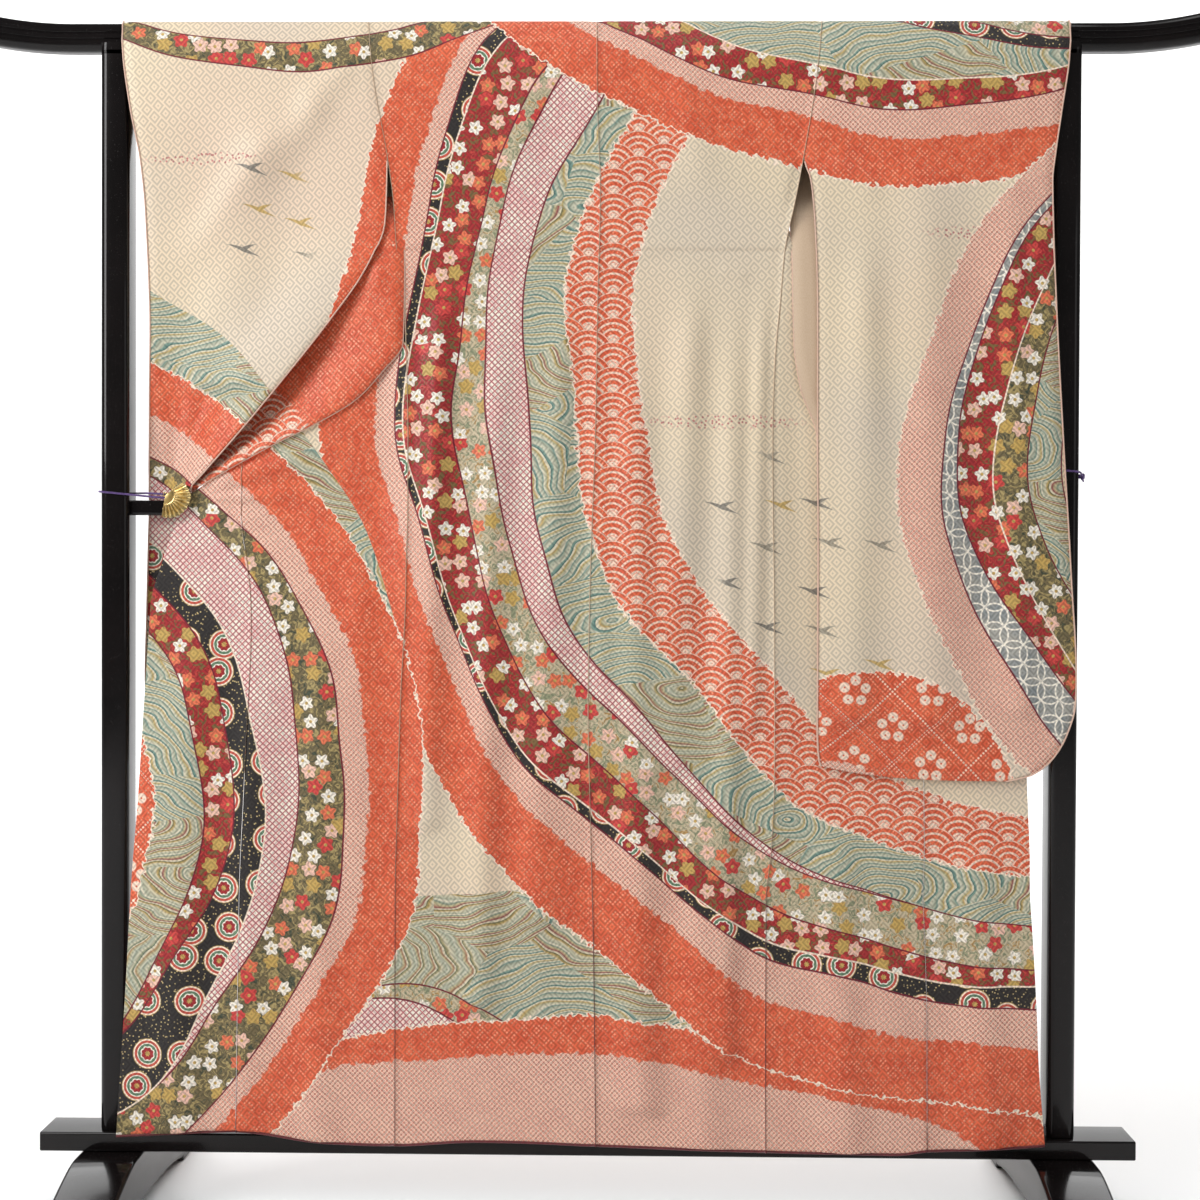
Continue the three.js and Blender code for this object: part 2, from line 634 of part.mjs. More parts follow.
// The over-collar lies on the far face of the collar's neck stretch.
const OVER_COLLAR_END = 1195;
const OVER_COLLAR_COLUMNS = [0, 4, 5, 6];
const OVER_COLLAR_GAP = 0.3;
function overCollar() {
  const lift = COLLAR_CLOTH / 2 + OVER_COLLAR_GAP + OVER_COLLAR_CLOTH / 2;
  const normals = gridNormals(collarRows);
  const kept = collarRows.map((row, r) => ({ row, r })).filter(({ row }) => row[0].z > OVER_COLLAR_END - 1);
  return kept.map(({ row, r }) => OVER_COLLAR_COLUMNS.map((c) => {
    const normal = normals[r][c];
    const outward = normal.y > 0 ? normal : normal.clone().negate();
    return row[c].clone().addScaledVector(outward, lift);
  }));
}
add('over_collar', wall(overCollar(), OVER_COLLAR_CLOTH), SILK_PINK);

// The lining's rolled lip under the hem, from the centre seam to the okumi's edge.
const LIP = { radius: 1.8, sides: 4, gap: 0.3 };
function hemLip(bodyRows, okumiRows) {
  const back = bodyRows[0].slice().reverse();
  const line = [...back, ...bodyRows[bodyRows.length - 1], ...okumiRows[okumiRows.length - 1]];
  return loft(line.map((point) => Array.from({ length: LIP.sides }, (_, k) => {
    const angle = ((k + 0.5) / LIP.sides) * Math.PI * 2;
    return vec(point.x, point.y + LIP.radius * Math.sin(angle),
      point.z - LIP.gap - LIP.radius + LIP.radius * Math.cos(angle));
  })));
}
HALVES.forEach((half, i) => {
  add(`hem_lining_${half.name}`, hemLip(bodyGrids[i], okumiGrids[i]), WINE);
});

// ---------------------------------------------------------------- stand
function topRail() {
  const height = RAIL.top - RAIL.bottom;
  const h = height / 2;
  const d = RAIL.depth / 2;
  const r = RAIL.round;
  const arc = (cy, cz, from, to) => [0, 1, 2, 3].map((i) => {
    const angle = THREE.MathUtils.degToRad(mix(from, to, i / 3));
    return [cy + r * Math.cos(angle), cz + r * Math.sin(angle)];
  });
  const { depth, width, slope } = RAIL_GROOVE;
  const grooved = RAIL_GROOVE.tops.flatMap((z) => [
    [d, z], [d - depth, z - slope], [d - depth, z - width + slope], [d, z - width],
  ]);
  const right = [...arc(d - r, h - r, 90, 0), ...grooved, ...arc(d - r, -h + r, 0, -90)];
  const left = right.map(([y, z]) => [-y, z]).reverse();
  const profile = [...right, ...left];
  const centreZ = (RAIL.top + RAIL.bottom) / 2;
  const length = RAIL.halfLength - RAIL.straight;
  const ring = (sign, t, scale) => {
    const lean = -sign * 2 * (RAIL.rise / length) * t;
    return profile.map(([y, z]) => vec(
      sign * (RAIL.straight + length * t) + lean * z * scale, y * scale, centreZ + RAIL.rise * t * t + z * scale));
  };
  const half = RAIL_STATIONS.rows;
  const leftRings = half.map(([t, scale]) => ring(-1, t, scale)).reverse();
  return loft([...leftRings, ...half.map(([t, scale]) => ring(1, t, scale))]);
}
add('top_rail', topRail(), LACQUER);

// The rail lies in an open seat between two cheeks.
const SEAT_HEIGHT = 40;
function post(side) {
  const bottom = FOOT_RAIL.top + CLEAR;
  const section = roundedRectangle(POST.width, POST.depth, POST.round);
  const column = extrude(section, POST.cheekTop - bottom, POST.bevel, 4).translate(0, 0, bottom);
  const seat = new THREE.BoxGeometry(POST.width * 2, RAIL.depth + 2 * CLEAR, SEAT_HEIGHT);
  seat.translate(0, 0, RAIL.bottom - CLEAR + SEAT_HEIGHT / 2);
  const solid = toManifold(column).subtract(toManifold(seat));
  return fromManifold(solid).translate(side * POST.x, 0, 0);
}
add('post_left', post(-1), LACQUER);
add('post_right', post(1), LACQUER);

function alongX(shape, length, bevel, curveSegments) {
  return extrude(shape, length, bevel, curveSegments).applyMatrix4(ALONG_X).translate(-length / 2, 0, 0);
}
const barLength = 2 * (POST.x - POST.width / 2 - CLEAR);
const bar = alongX(roundedRectangle(BAR.depth, BAR.top - BAR.bottom, BAR.round), barLength, 0, 3);
add('middle_bar', bar.translate(0, 0, (BAR.top + BAR.bottom) / 2), LACQUER);

const footRailHeight = FOOT_RAIL.top - FOOT_RAIL.bottom;
const footRail = alongX(roundedRectangle(FOOT_RAIL.depth, footRailHeight, FOOT_RAIL.round),
  2 * FOOT_RAIL.halfLength, FOOT_RAIL.bevel, 2);
add('foot_rail', footRail.translate(0, 0, (FOOT_RAIL.top + FOOT_RAIL.bottom) / 2), LACQUER);

// A foot seen from the side: a flat seat for the rail, sloping shoulders, toes and an arch.
function foot(side) {
  const shape = new THREE.Shape();
  const top = FOOT_RAIL.bottom - CLEAR;
  const { halfLength: end, topFlat: flat, toe, instep, shoulder } = FOOT;
  const { height, quarter, lip, cusp, notch, sole } = FOOT_ARCH;
  const heel = [end - 8, 2];        // where the sole starts to round up, and how far it has risen
  shape.moveTo(heel[0], 0);
  shape.quadraticCurveTo(end, heel[1], end, toe);
  shape.quadraticCurveTo(end, 34, end - instep[0], instep[1]);
  shape.bezierCurveTo(end - shoulder[0], shoulder[1], flat + 40, top, flat, top);
  shape.lineTo(-flat, top);
  shape.bezierCurveTo(-flat - 40, top, shoulder[0] - end, shoulder[1], instep[0] - end, instep[1]);
  shape.quadraticCurveTo(-end, 34, -end, toe);
  shape.quadraticCurveTo(-end, heel[1], -heel[0], 0);
  shape.lineTo(-sole, 0);
  shape.lineTo(-notch[0], notch[1]);
  shape.quadraticCurveTo(-cusp[0], cusp[1], -lip[0], lip[1]);
  shape.quadraticCurveTo(-quarter, height, 0, height);
  shape.quadraticCurveTo(quarter, height, lip[0], lip[1]);
  shape.quadraticCurveTo(cusp[0], cusp[1], notch[0], notch[1]);
  shape.lineTo(sole, 0);
  shape.closePath();
  return alongX(shape, FOOT.width, FOOT.bevel, 3).translate(side * POST.x, 0, 0);
}
add('foot_left', foot(-1), LACQUER);
add('foot_right', foot(1), LACQUER);

// ---------------------------------------------------------------- clip and cords
// The fan opens to the right of its pin, and a jaw behind holds the gathered cloth.
const CLIP = { x: -600, z: 1022, frontY: -31, plate: 2, jawY: -18, jaw: 1.2 };
const FAN = { radius: 39, upper: 36, upperReach: 0.82, lower: -58, lowerReach: 0.86, arc: [22, -44] };
const FAN_STEM = [[3, 9], [12, 10]];                  // the pin's side, above
const FAN_HEEL = [-4, -27];
const RIBS = { radius: 1.2, taper: 0.55, first: 24, step: 11, last: -52, length: 0.56, middle: 0.62 };
const BRIDGE = { x: -1.5, bottom: 998, height: 9, width: 3 };
const JAW = { x: 14, length: 34 };
function fanClip() {
  const { degToRad } = THREE.MathUtils;
  const outline = new THREE.Shape();
  const corner = (degrees, reach) => [
    FAN.radius * reach * Math.cos(degToRad(degrees)), FAN.radius * reach * Math.sin(degToRad(degrees))];
  outline.moveTo(...FAN_STEM[0]);
  outline.lineTo(...FAN_STEM[1]);
  outline.lineTo(...corner(FAN.upper, FAN.upperReach));
  outline.absarc(0, 0, FAN.radius, degToRad(FAN.arc[0]), degToRad(FAN.arc[1]), true);
  outline.lineTo(...corner(FAN.lower, FAN.lowerReach));
  outline.lineTo(...FAN_HEEL);
  outline.closePath();
  const upright = new THREE.Matrix4().makeRotationX(Math.PI / 2);
  const plate = new THREE.ExtrudeGeometry(outline, { depth: CLIP.plate, bevelEnabled: false, curveSegments: 8 })
    .applyMatrix4(upright).translate(CLIP.x, CLIP.frontY + CLIP.plate, CLIP.z);
  let solid = toManifold(plate);
  for (let degrees = RIBS.first; degrees >= RIBS.last; degrees -= RIBS.step) {
    const rib = new THREE.CylinderGeometry(RIBS.radius, RIBS.radius * RIBS.taper, FAN.radius * RIBS.length, 5);
    rib.rotateZ(-Math.PI / 2).translate(FAN.radius * RIBS.middle, 0, 0);
    rib.applyMatrix4(new THREE.Matrix4().makeRotationY(degToRad(-degrees)));
    solid = solid.add(toManifold(rib.translate(CLIP.x, CLIP.frontY, CLIP.z)));
  }
  const back = CLIP.jawY + CLIP.jaw;
  const start = CLIP.frontY + 0.4;                    // sunk in the fan's plate
  const level = BRIDGE.bottom + BRIDGE.height / 2;
  const bridge = new THREE.BoxGeometry(BRIDGE.width, back - start, BRIDGE.height)
    .translate(CLIP.x + BRIDGE.x, (back + start) / 2, level);
  const jaw = new THREE.BoxGeometry(JAW.length, CLIP.jaw, BRIDGE.height)
    .translate(CLIP.x + JAW.x, CLIP.jawY + CLIP.jaw / 2, level);
  return fromManifold(solid.add(toManifold(bridge)).add(toManifold(jaw)));
}
add('fan_clip', fanClip(), GOLD);

const CORD_DIAMETER = 3;
function cord(points, steps) {
  const path = new THREE.CatmullRomCurve3(points.map(([x, y, z]) => vec(x, y, z)), false, 'centripetal');
  const section = new THREE.Shape().absarc(0, 0, CORD_DIAMETER / 2, 0, Math.PI * 2);
  return new THREE.ExtrudeGeometry(section, { steps, extrudePath: path, curveSegments: 4, bevelEnabled: false });
}
// Out from the clip, round the left post and back to the clip.
const CLIP_CORD = [
  [-599.4, -28, 1021], [-625, -28, 1023], [-655, -27.4, 1026], [-682, -27.4, 1028.5], [-692, -25.2, 1029.5],
  [-696.4, -18, 1030], [-696.4, 0, 1030], [-696.4, 18, 1030], [-692, 25.2, 1030], [-682, 27.4, 1030],
  [-668, 27.4, 1030], [-657, 25.6, 1030], [-651, 18, 1029.5], [-643, 4, 1029], [-624, -14, 1028],
  [-599.2, -28, 1026],
];
add('clip_cord', cord(CLIP_CORD, 40), CORD);

// A loop round the right post, whose ends meet in a knot.
const KNOT = { x: 700.4, y: -8, z: 1056, radii: [5.2, 5.6, 7.4], lean: -0.5 };
const POST_CORD = [
  [699.2, -14, 1057.4], [697, -19, 1060], [692, -25.2, 1062], [682, -27.4, 1063], [666, -27.4, 1064],
  [656, -25.2, 1064], [651.6, -18, 1064], [651.6, 0, 1064], [651.6, 18, 1064], [656, 25.2, 1064], [666, 27.4, 1064],
  [682, 27.4, 1063], [692, 25.2, 1062], [696.4, 18, 1061], [697, 5, 1060], [699.2, -2, 1057.4],
];
add('post_cord', cord(POST_CORD, 36), CORD);
const knot = new THREE.SphereGeometry(1, 10, 7).scale(...KNOT.radii);
knot.rotateY(KNOT.lean).translate(KNOT.x, KNOT.y, KNOT.z);
add('post_cord_knot', knot, CORD);

export default group;
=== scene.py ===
"""A furisode (long-sleeved kimono) shown from its back on a black lacquered kimono stand."""
import math

import bmesh
import bpy
import numpy as np
from bpy.props import FloatProperty, FloatVectorProperty, IntProperty, PointerProperty
from mathutils import Matrix, Vector


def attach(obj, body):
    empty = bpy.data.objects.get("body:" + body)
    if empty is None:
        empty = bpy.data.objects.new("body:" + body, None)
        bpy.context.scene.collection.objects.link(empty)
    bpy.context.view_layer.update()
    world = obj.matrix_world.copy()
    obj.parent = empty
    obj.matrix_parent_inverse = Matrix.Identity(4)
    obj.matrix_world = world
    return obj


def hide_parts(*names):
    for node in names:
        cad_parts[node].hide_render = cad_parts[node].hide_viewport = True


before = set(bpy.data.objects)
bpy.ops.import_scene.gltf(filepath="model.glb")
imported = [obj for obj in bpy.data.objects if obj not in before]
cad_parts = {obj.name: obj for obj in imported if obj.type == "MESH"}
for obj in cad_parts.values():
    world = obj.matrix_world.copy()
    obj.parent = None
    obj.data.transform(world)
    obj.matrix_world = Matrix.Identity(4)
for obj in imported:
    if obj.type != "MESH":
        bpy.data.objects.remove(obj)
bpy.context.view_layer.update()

bl_info = {
    "name": "Furisode on a Kimono Stand",
    "version": (1, 0, 0),
    "blender": (4, 5, 0),
    "location": "3D View > Sidebar > Furisode",
    "description": "Builds the silk, linings, stand, clip and cords on the fixed solids",
    "category": "Add Mesh",
}

MM = 0.001

# ------------------------------------------------------------------ garment tables, in millimetres
GAP = 0.05
COLLAR_GAP = 0.48
COLLAR_WIDTH = 56
HEM_LEVEL = 110
HEM_FADE = 250
SHOULDER_LEVEL = 1640
ARMHOLE_LEVEL = 1505
UNDERARM_LEVEL = 1372
OPENING_TOP = 1440
OKUMI_TOP = 1460
COLLAR_END = {"left": 1035, "right": 870}
SEAM_EASE = 40
ROW_STEP = 9              # how far apart the rows of a sheet are
BACK_WIDTH, SLEEVE_WIDTH = 280, 350
WRAP_TOP, FRONT_TOP, DYED_FADE = 1440, 1400, 60   # where the dyed design fades in and out on hidden parts
WRAP_LEVEL = 1420          # above it, a hidden row carries the back's design on
FACED_LEVELS = (1010, 1460)  # between them the left sleeve's far layer shows dyed silk inside
CLEAR = 0.3                # between the stand's pieces
RAIL = {"half_length": 871, "straight": 735, "rise": 15, "depth": 34, "bottom": 1657, "top": 1698,
        "round": 12}
POST = {"x": 674, "width": 40, "depth": 50, "round": 10, "cheek_top": 1667}
BAR = {"bottom": 997, "top": 1018.5, "depth": 18, "round": 4}
FOOT_RAIL = {"half_length": 777, "depth": 70, "bottom": 90.5, "top": 118, "round": 3}
FOOT = {"width": 90, "half_length": 256, "top_flat": 62, "bevel": 5}

# Height, then x of the centre seam.
CENTRE = [(1700, 10), (1597, 11), (1442, 16), (1302, 13), (1133, 11), (893, 4), (737, 2), (596, 5), (383, 11),
          (110, 15)]
# Height, then y of the back.
BACK_DEPTH = [(1640, -29), (1420, -30), (1377, -31.5), (1369, -30), (1000, -33), (600, -36), (300, -39.5),
              (110, -42)]
# Height, side seam, width of the front, of the okumi, share that faces back, y beside the back, y behind it,
# and how much of the width the hidden part takes up.
HALF_COLUMNS = ("seam", "front", "okumi", "swung", "out_y", "far_y", "taken")
LEFT_HALF = [
    (1700, -314, 235, 0, 0, -27, 29, 1), (1640, -308, 235, 0, 0, -27, 29, 0.98),
    (1597, -302, 235, 0, 0, -27, 26, 0.96), (1505, -285, 235, 0, 0, -26, 14, 0.92),
    (1440, -276, 235, 12, 0, -26, 4, 0.9), (1372, -271, 235, 30, 0.01, -25, -4, 0.9),
    (1300, -259, 235, 44, 0.09, -24, -10, 0.9), (1224, -257, 235, 60, 0.16, -23, -12, 0.9),
    (1160, -255, 236, 70, 0.28, -22, -12.5, 0.92), (1110, -254, 237, 76, 0.53, -21.5, -13, 0.94),
    (1060, -254, 238, 84, 0.82, -20.5, -13.5, 0.96), (1035, -254, 239, 87, 0.91, -18.5, -13.5, 1),
    (1010, -254, 239, 91, 1, -19, -13.5, 1), (997, -254, 239, 92, 1, -19.5, -13.5, 1),
    (933, -256, 228, 120, 1, -25, -20, 1), (869, -257, 220, 143, 1, -30, -25, 1),
    (748, -263, 215, 149, 1, -33.5, -28, 1), (606, -267, 217, 151, 1, -36, -31, 1),
    (464, -270, 220, 155, 1, -38, -33, 1), (110, -269, 225, 171, 1, -42, -37, 1),
]
RIGHT_HALF = [
    (1700, 328, 232, 0, 0, -27, 29, 1), (1640, 322, 232, 0, 0, -27, 29, 0.98),
    (1597, 317, 233, 0, 0, -27, 26, 0.96), (1505, 302, 235, 0, 0, -26, 14, 0.92),
    (1440, 290, 235, 12, 0, -26, 4, 0.9), (1372, 276, 235, 30, 0.01, -25, -4, 0.9),
    (1300, 270, 235, 44, 0.08, -25, -10, 0.9), (1220, 263, 235, 60, 0.14, -25, -12, 0.9),
    (1120, 260, 236, 76, 0.2, -25, -13, 0.92), (1000, 261, 236, 95, 0.33, -25, -13, 0.94),
    (900, 263, 225, 125, 0.48, -25, -14, 0.96), (800, 264, 215, 139, 0.66, -25, -16, 1),
    (700, 265, 212, 144, 0.88, -26, -20, 1), (640, 265, 211, 145, 1, -28, -23, 1),
    (526, 261, 216, 148, 1, -33, -28, 1), (455, 254, 221, 150, 1, -36, -31, 1),
    (260, 254, 227, 155, 1, -40, -35, 1), (110, 255, 227, 165, 1, -42, -37, 1),
]
# x, then height of the hem.
HEM = [(650, 115), (560, 109), (482, 106), (440, 101), (255, 103), (15, 110), (-149, 114), (-270, 108),
       (-363, 110), (-494, 125), (-666, 117)]
# Long soft folds: top, bottom, x at the top, x at the bottom, how far they stand out, width.
DRAPES = [
    (1330, 300, -128, -150, 4, 24), (1340, 160, 62, 80, 5, 30), (1360, 240, 205, 196, 4, 20),
    (1345, 700, 245, 232, 3, 12), (900, 112, -372, -380, 3, 26), (880, 112, -560, -580, 4, 30),
    (600, 112, 350, 368, 4, 28), (590, 112, 548, 566, 4, 26), (1540, 700, 470, 486, 4, 40),
    (1500, 720, 590, 610, 3, 24), (1600, 1180, -470, -520, 4, 46), (1365, 640, 140, 118, 3, 26),
    (1365, 420, -40, -66, 2.5, 34), (1300, 620, 10, 24, 2, 18), (1350, 560, -212, -226, 3, 20),
    (1480, 700, 390, 372, 3, 30), (860, 112, -470, -486, 2.5, 26), (760, 112, 150, 172, 2.5, 30),
]
# Height, inner edge, outer edge, and the y of each.
RIGHT_NEAR = [
    (1700, 328, 677, -29, -29), (1640, 322, 673, -29, -29), (1568, 312, 663, -29.5, -29.5),
    (1505, 302, 654, -30, -31), (1470, 312, 650, -33, -33), (1407, 318, 651, -35.5, -35.5),
    (1302, 322, 655, -37, -37), (1106, 323, 666, -38, -38), (910, 325, 679, -38, -38),
    (769, 325, 687, -38, -38),
    (734, 325, 686, -38, -38), (691, 325, 674, -38, -38), (656, 326, 653, -38, -38), (635, 328, 625, -38, -38),
    (626, 331, 590, -38, -38),
]
RIGHT_FAR = [
    (1700, 328, 677, 29, 29), (1640, 322, 673, 29, 29), (1568, 312, 644, 24, 29), (1505, 302, 643, 14, 22),
    (1485, 292, 644, 8, 10), (1450, 286, 645, -4, -2), (1407, 285, 646, -22, -20), (1360, 287, 652, -30, -29.5),
    (1302, 288, 655, -32, -32), (1240, 290, 657, -33, -32.5), (1180, 299, 660, -33.5, -33),
    (1106, 323, 666, -33.5, -33.5), (910, 325, 679, -33.5, -33.5), (769, 325, 687, -33.5, -33.5),
    (734, 325, 686, -33.5, -33.5), (691, 325, 674, -33.5, -33.5), (656, 326, 653, -33.5, -33.5),
    (635, 328, 625, -33.5, -33.5), (626, 331, 590, -33.5, -33.5),
]
LEFT_NEAR = [
    (1700, -314, -664, -29, -29), (1640, -308, -659, -29, -29), (1569, -297, -649, -29.5, -28),
    (1505, -285, -638, -30, -20), (1442, -286, -633, -31, -12), (1407, -288, -632, -32, -8),
    (1343, -316, -630, -33, -3), (1273, -365, -629, -33, 2), (1167, -450, -631, -31, 7),
    (1060, -542, -633, -28, 11.5), (1039, -562, -633, -26.5, 12), (1030, -568, -633, -11, 12),
    (1024, -571, -633, 3, 12.5), (1021, -572, -633, 11.5, 13), (1008, -568, -633, 13, 13),
    (960, -510, -635, 14, 14), (848, -450, -638, 15, 15), (762, -430, -640, 15, 15), (720, -426, -635, 15, 15),
    (684, -424, -625, 15, 15), (649, -422, -606, 15, 15), (633, -420, -580, 15, 15), (626, -420, -545, 15, 15),
]
LEFT_FAR = [
    (1700, -314, -664, 29, 29), (1640, -308, -659, 29, 29), (1569, -297, -649, 24, 29),
    (1505, -285, -638, 14, 26), (1470, -278, -635, 4, 24), (1442, -270, -633, -14, 22),
    (1407, -263, -632, -28, 20), (1343, -260, -630, -32, 18), (1240, -262, -629, -32, 18),
    (1200, -292, -630, -30, 18), (1163, -327, -631, -26.5, 18),
    (1125, -390, -632, -25, 18), (1100, -442, -632, -24, 18), (1060, -515, -633, -24, 19),
    (1039, -552, -633, -22.5, 19), (1034, -560, -633, -8, 19.5), (1030, -566, -633, 4, 20),
    (1026, -568, -633, 15, 20), (1008, -564, -633, 20, 20), (960, -506, -635, 19, 19),
    (848, -446, -638, 19, 19),
    (762, -426, -640, 19, 19), (720, -422, -635, 19, 19), (684, -420, -625, 19, 19), (649, -418, -606, 19, 19),
    (633, -416, -580, 19, 19), (626, -416, -545, 19, 19),
]
SLEEVE_BOTTOM = 626
NECK_Z = (1658, 1650)
NECK_REACH = (3, 62)
NECK_FREE_EDGE = ((36, 1580), (31, 1597), (20, 1607), (3, 1612))

CREASE_STRENGTH = 2.7
DRAPE_STRENGTH = 2.9
# Short creases: x and z of both ends, how far they stand out (a trough is negative), and width.
CREASES = [
    (-545, 1035, -380, 1085, 2.0, 10), (-548, 1020, -400, 1030, 1.6, 9), (-548, 1008, -430, 985, 1.4, 9),
    (-552, 1000, -470, 940, 1.2, 9), (-300, 1380, -296, 1310, 2.0, 8), (-150, 1362, -60, 1352, -0.8, 6),
    (40, 1360, 150, 1354, -0.8, 6), (180, 1350, 230, 1330, 1.2, 8), (300, 1500, 288, 1420, -2.2, 10),
    (330, 1500, 420, 1440, 1.6, 16), (-330, 1640, -420, 1560, 1.8, 22), (-360, 1600, -500, 1440, 2.2, 26),
    (-430, 1560, -590, 1330, 2.0, 26), (330, 1660, 360, 1600, 1.4, 10), (395, 1665, 410, 1610, 1.2, 9),
    (452, 1668, 462, 1625, 1.2, 8), (-70, 1640, -110, 1450, 1.6, 26), (120, 1640, 170, 1440, 1.6, 24),
    (-30, 1330, -60, 760, 1.6, 20), (150, 1330, 140, 820, 1.8, 22), (-205, 1330, -222, 900, 2.0, 18),
    (380, 1380, 420, 900, 1.6, 26), (640, 1380, 655, 850, 1.6, 20), (540, 1200, 560, 760, -1.4, 22),
    (-600, 760, -640, 300, 1.8, 20), (-440, 820, -455, 320, 1.4, 22), (-320, 1000, -330, 300, 1.6, 22),
    (20, 560, 60, 200, 1.4, 26), (180, 620, 150, 180, 1.6, 24), (420, 560, 430, 170, 1.4, 22),
    (-80, 700, -60, 200, 1.2, 24), (620, 520, 630, 180, 1.2, 16),
]


# ------------------------------------------------------------------ small maths
def mix(a, b, t):
    return a + (b - a) * t


def ease(t):
    k = np.clip(t, 0.0, 1.0)
    return k * k * (3 - 2 * k)


class Profile:
    """A smooth curve without overshoot through rows of (height, value), read at any height."""

    def __init__(self, rows, column=1):
        self.z = np.array([row[0] for row in rows], float)
        self.v = np.array([row[column] for row in rows], float)
        slope = np.diff(self.v) / np.diff(self.z)
        before, after = slope[:-1], slope[1:]
        total = np.where(before + after == 0, 1, before + after)
        inner = np.where(before * after <= 0, 0, 2 * before * after / total)
        self.t = np.concatenate([slope[:1], inner, slope[-1:]])

    def __call__(self, z):
        z = np.clip(np.asarray(z, float), self.z[-1], self.z[0])
        i = np.clip(np.searchsorted(-self.z, -z, side="right") - 1, 0, len(self.z) - 2)
        step = self.z[i + 1] - self.z[i]
        t = (z - self.z[i]) / step
        rest = 1 - t
        return (self.v[i] * (1 + 2 * t) * rest * rest + self.t[i] * step * t * rest * rest
                + self.v[i + 1] * t * t * (3 - 2 * t) - self.t[i + 1] * step * t * t * rest)


class Half:
    """One half of the body, with a profile for each column of its table."""

    def __init__(self, side, name, rows):
        self.side = side
        self.name = name
        for column, title in enumerate(HALF_COLUMNS, start=1):
            setattr(self, title, Profile(rows, column))


centre_x = Profile(CENTRE)
back_y = Profile(BACK_DEPTH)
hem_z = Profile(HEM)
HALVES = (Half(-1, "left", LEFT_HALF), Half(1, "right", RIGHT_HALF))


def drape(x, z):
    """How far the long folds bring the cloth towards -Y."""
    total = np.zeros(np.broadcast(x, z).shape)
    for top, bottom, x_top, x_bottom, depth, width in DRAPES:
        along = (top - z) / (top - bottom)
        away = (x - mix(x_top, x_bottom, along)) / width
        total += np.where((along > 0) & (along <= 1), depth * np.exp(-away * away) * ease(along * 4), 0)
    return total * DRAPE_STRENGTH


def creases(x, z):
    """The listed short ridges and troughs, and a faint unevenness all over."""
    total = np.zeros(np.broadcast(x, z).shape)
    for x0, z0, x1, z1, depth, width in CREASES:
        run = math.hypot(x1 - x0, z1 - z0)
        dx, dz = (x1 - x0) / run, (z1 - z0) / run
        along = ((x - x0) * dx + (z - z0) * dz) / run
        away = ((x - x0) * dz - (z - z0) * dx) / (width * (0.7 + 0.5 * np.clip(along, 0, 1)))
        ends = ease(along * 5) * ease((1 - along) * 3)
        total += depth * np.exp(-away * away) * ends
    wave = 0.5 * np.sin(x / 61 + 0.6 * np.sin(z / 170)) * np.sin(z / 230 + 1.3)
    return total * CREASE_STRENGTH + wave + 0.35 * np.sin(x / 23 + z / 190 + 0.8 * np.sin(z / 90))


def hem_shift(x, z):
    """The hem's own curve, which fades out above it."""
    return (hem_z(x) - HEM_LEVEL) * np.clip(1 - (z - HEM_LEVEL) / HEM_FADE, 0, 1)


def over_rail(steps=9):
    """The cloth's way over the rail, from the near side to the far side, as (y, z)."""
    radius = RAIL["round"] + 2.2
    cy = RAIL["depth"] / 2 - RAIL["round"]
    cz = RAIL["top"] - RAIL["round"]
    angles = np.radians(np.linspace(90, 0, steps))
    far = [(cy + radius * math.cos(a), cz + radius * math.sin(a)) for a in angles]
    far.append((POST["depth"] / 2 + 2, POST["cheek_top"]))
    return [(-y, z) for y, z in reversed(far)] + far


OVER_RAIL = over_rail()


def turn_at(half, z):
    """Where the front starts to turn round, its depth there, the radius, and where it ends."""
    reach = half.swung(z) * (half.front(z) + half.okumi(z))
    out_y = mix(back_y(z), half.out_y(z), ease(reach / SEAM_EASE))
    radius = (half.far_y(z) - out_y) / 2
    return reach, out_y, radius, reach + math.pi * radius


def front_point(half, s, z):
    """Points of the front, okumi or collar, s millimetres along the cloth from the side seam."""
    s, z = np.broadcast_arrays(np.asarray(s, float), np.asarray(z, float))
    side = half.side
    seam = half.seam(z)
    reach, out_y, radius, end = turn_at(half, z)
    taken = half.taken(z)
    x = seam + side * (reach - taken * (s - end))
    y = half.far_y(z)
    beside = s <= reach
    x = np.where(beside, seam + side * s, x)
    fold = drape(seam + side * s, z) + creases(seam + side * s, z) * ease(s / 30)
    y = np.where(beside, mix(back_y(z), half.out_y(z), ease(s / SEAM_EASE)) - fold, y)
    turning = (~beside) & (s < end)
    angle = np.where(turning, (s - reach) / radius, 0)
    x_turn = seam + side * (reach + radius * np.sin(angle))
    fold_turn = drape(x_turn, z) + creases(x_turn, z) * ease(reach / 30)
    y_turn = out_y + radius * (1 - np.cos(angle)) - fold_turn * (1 - (s - reach) / (end - reach))
    x = np.where(turning, x_turn, x)
    y = np.where(turning, y_turn, y)
    turned = ease((OPENING_TOP - z) / (OPENING_TOP - UNDERARM_LEVEL))
    x = mix(seam - side * taken * s, x, turned)
    y = mix(half.far_y(z), y, turned)
    return np.stack([x, y, z + hem_shift(x, z)], axis=-1)


SMALLEST_CELL = 0.5


def stops(half, z, start_at, end_at, split):
    """Distances along the cloth, close together where it turns."""
    before, in_turn, after = split
    cell = min(SMALLEST_CELL, 0.55 * (end_at - start_at) / sum(split))
    reach, _, _, end = (float(v) for v in turn_at(half, z))
    start = min(max(reach, start_at + before * cell), end_at - (after + in_turn) * cell)
    stop = min(max(end, start + in_turn * cell), end_at - after * cell)
    parts = []
    if before:
        parts.append(np.linspace(start_at, start, before, endpoint=False))
    parts.append(np.linspace(start, stop, in_turn, endpoint=False))
    parts.append(np.linspace(stop, end_at, after + 1))
    return np.concatenate(parts)


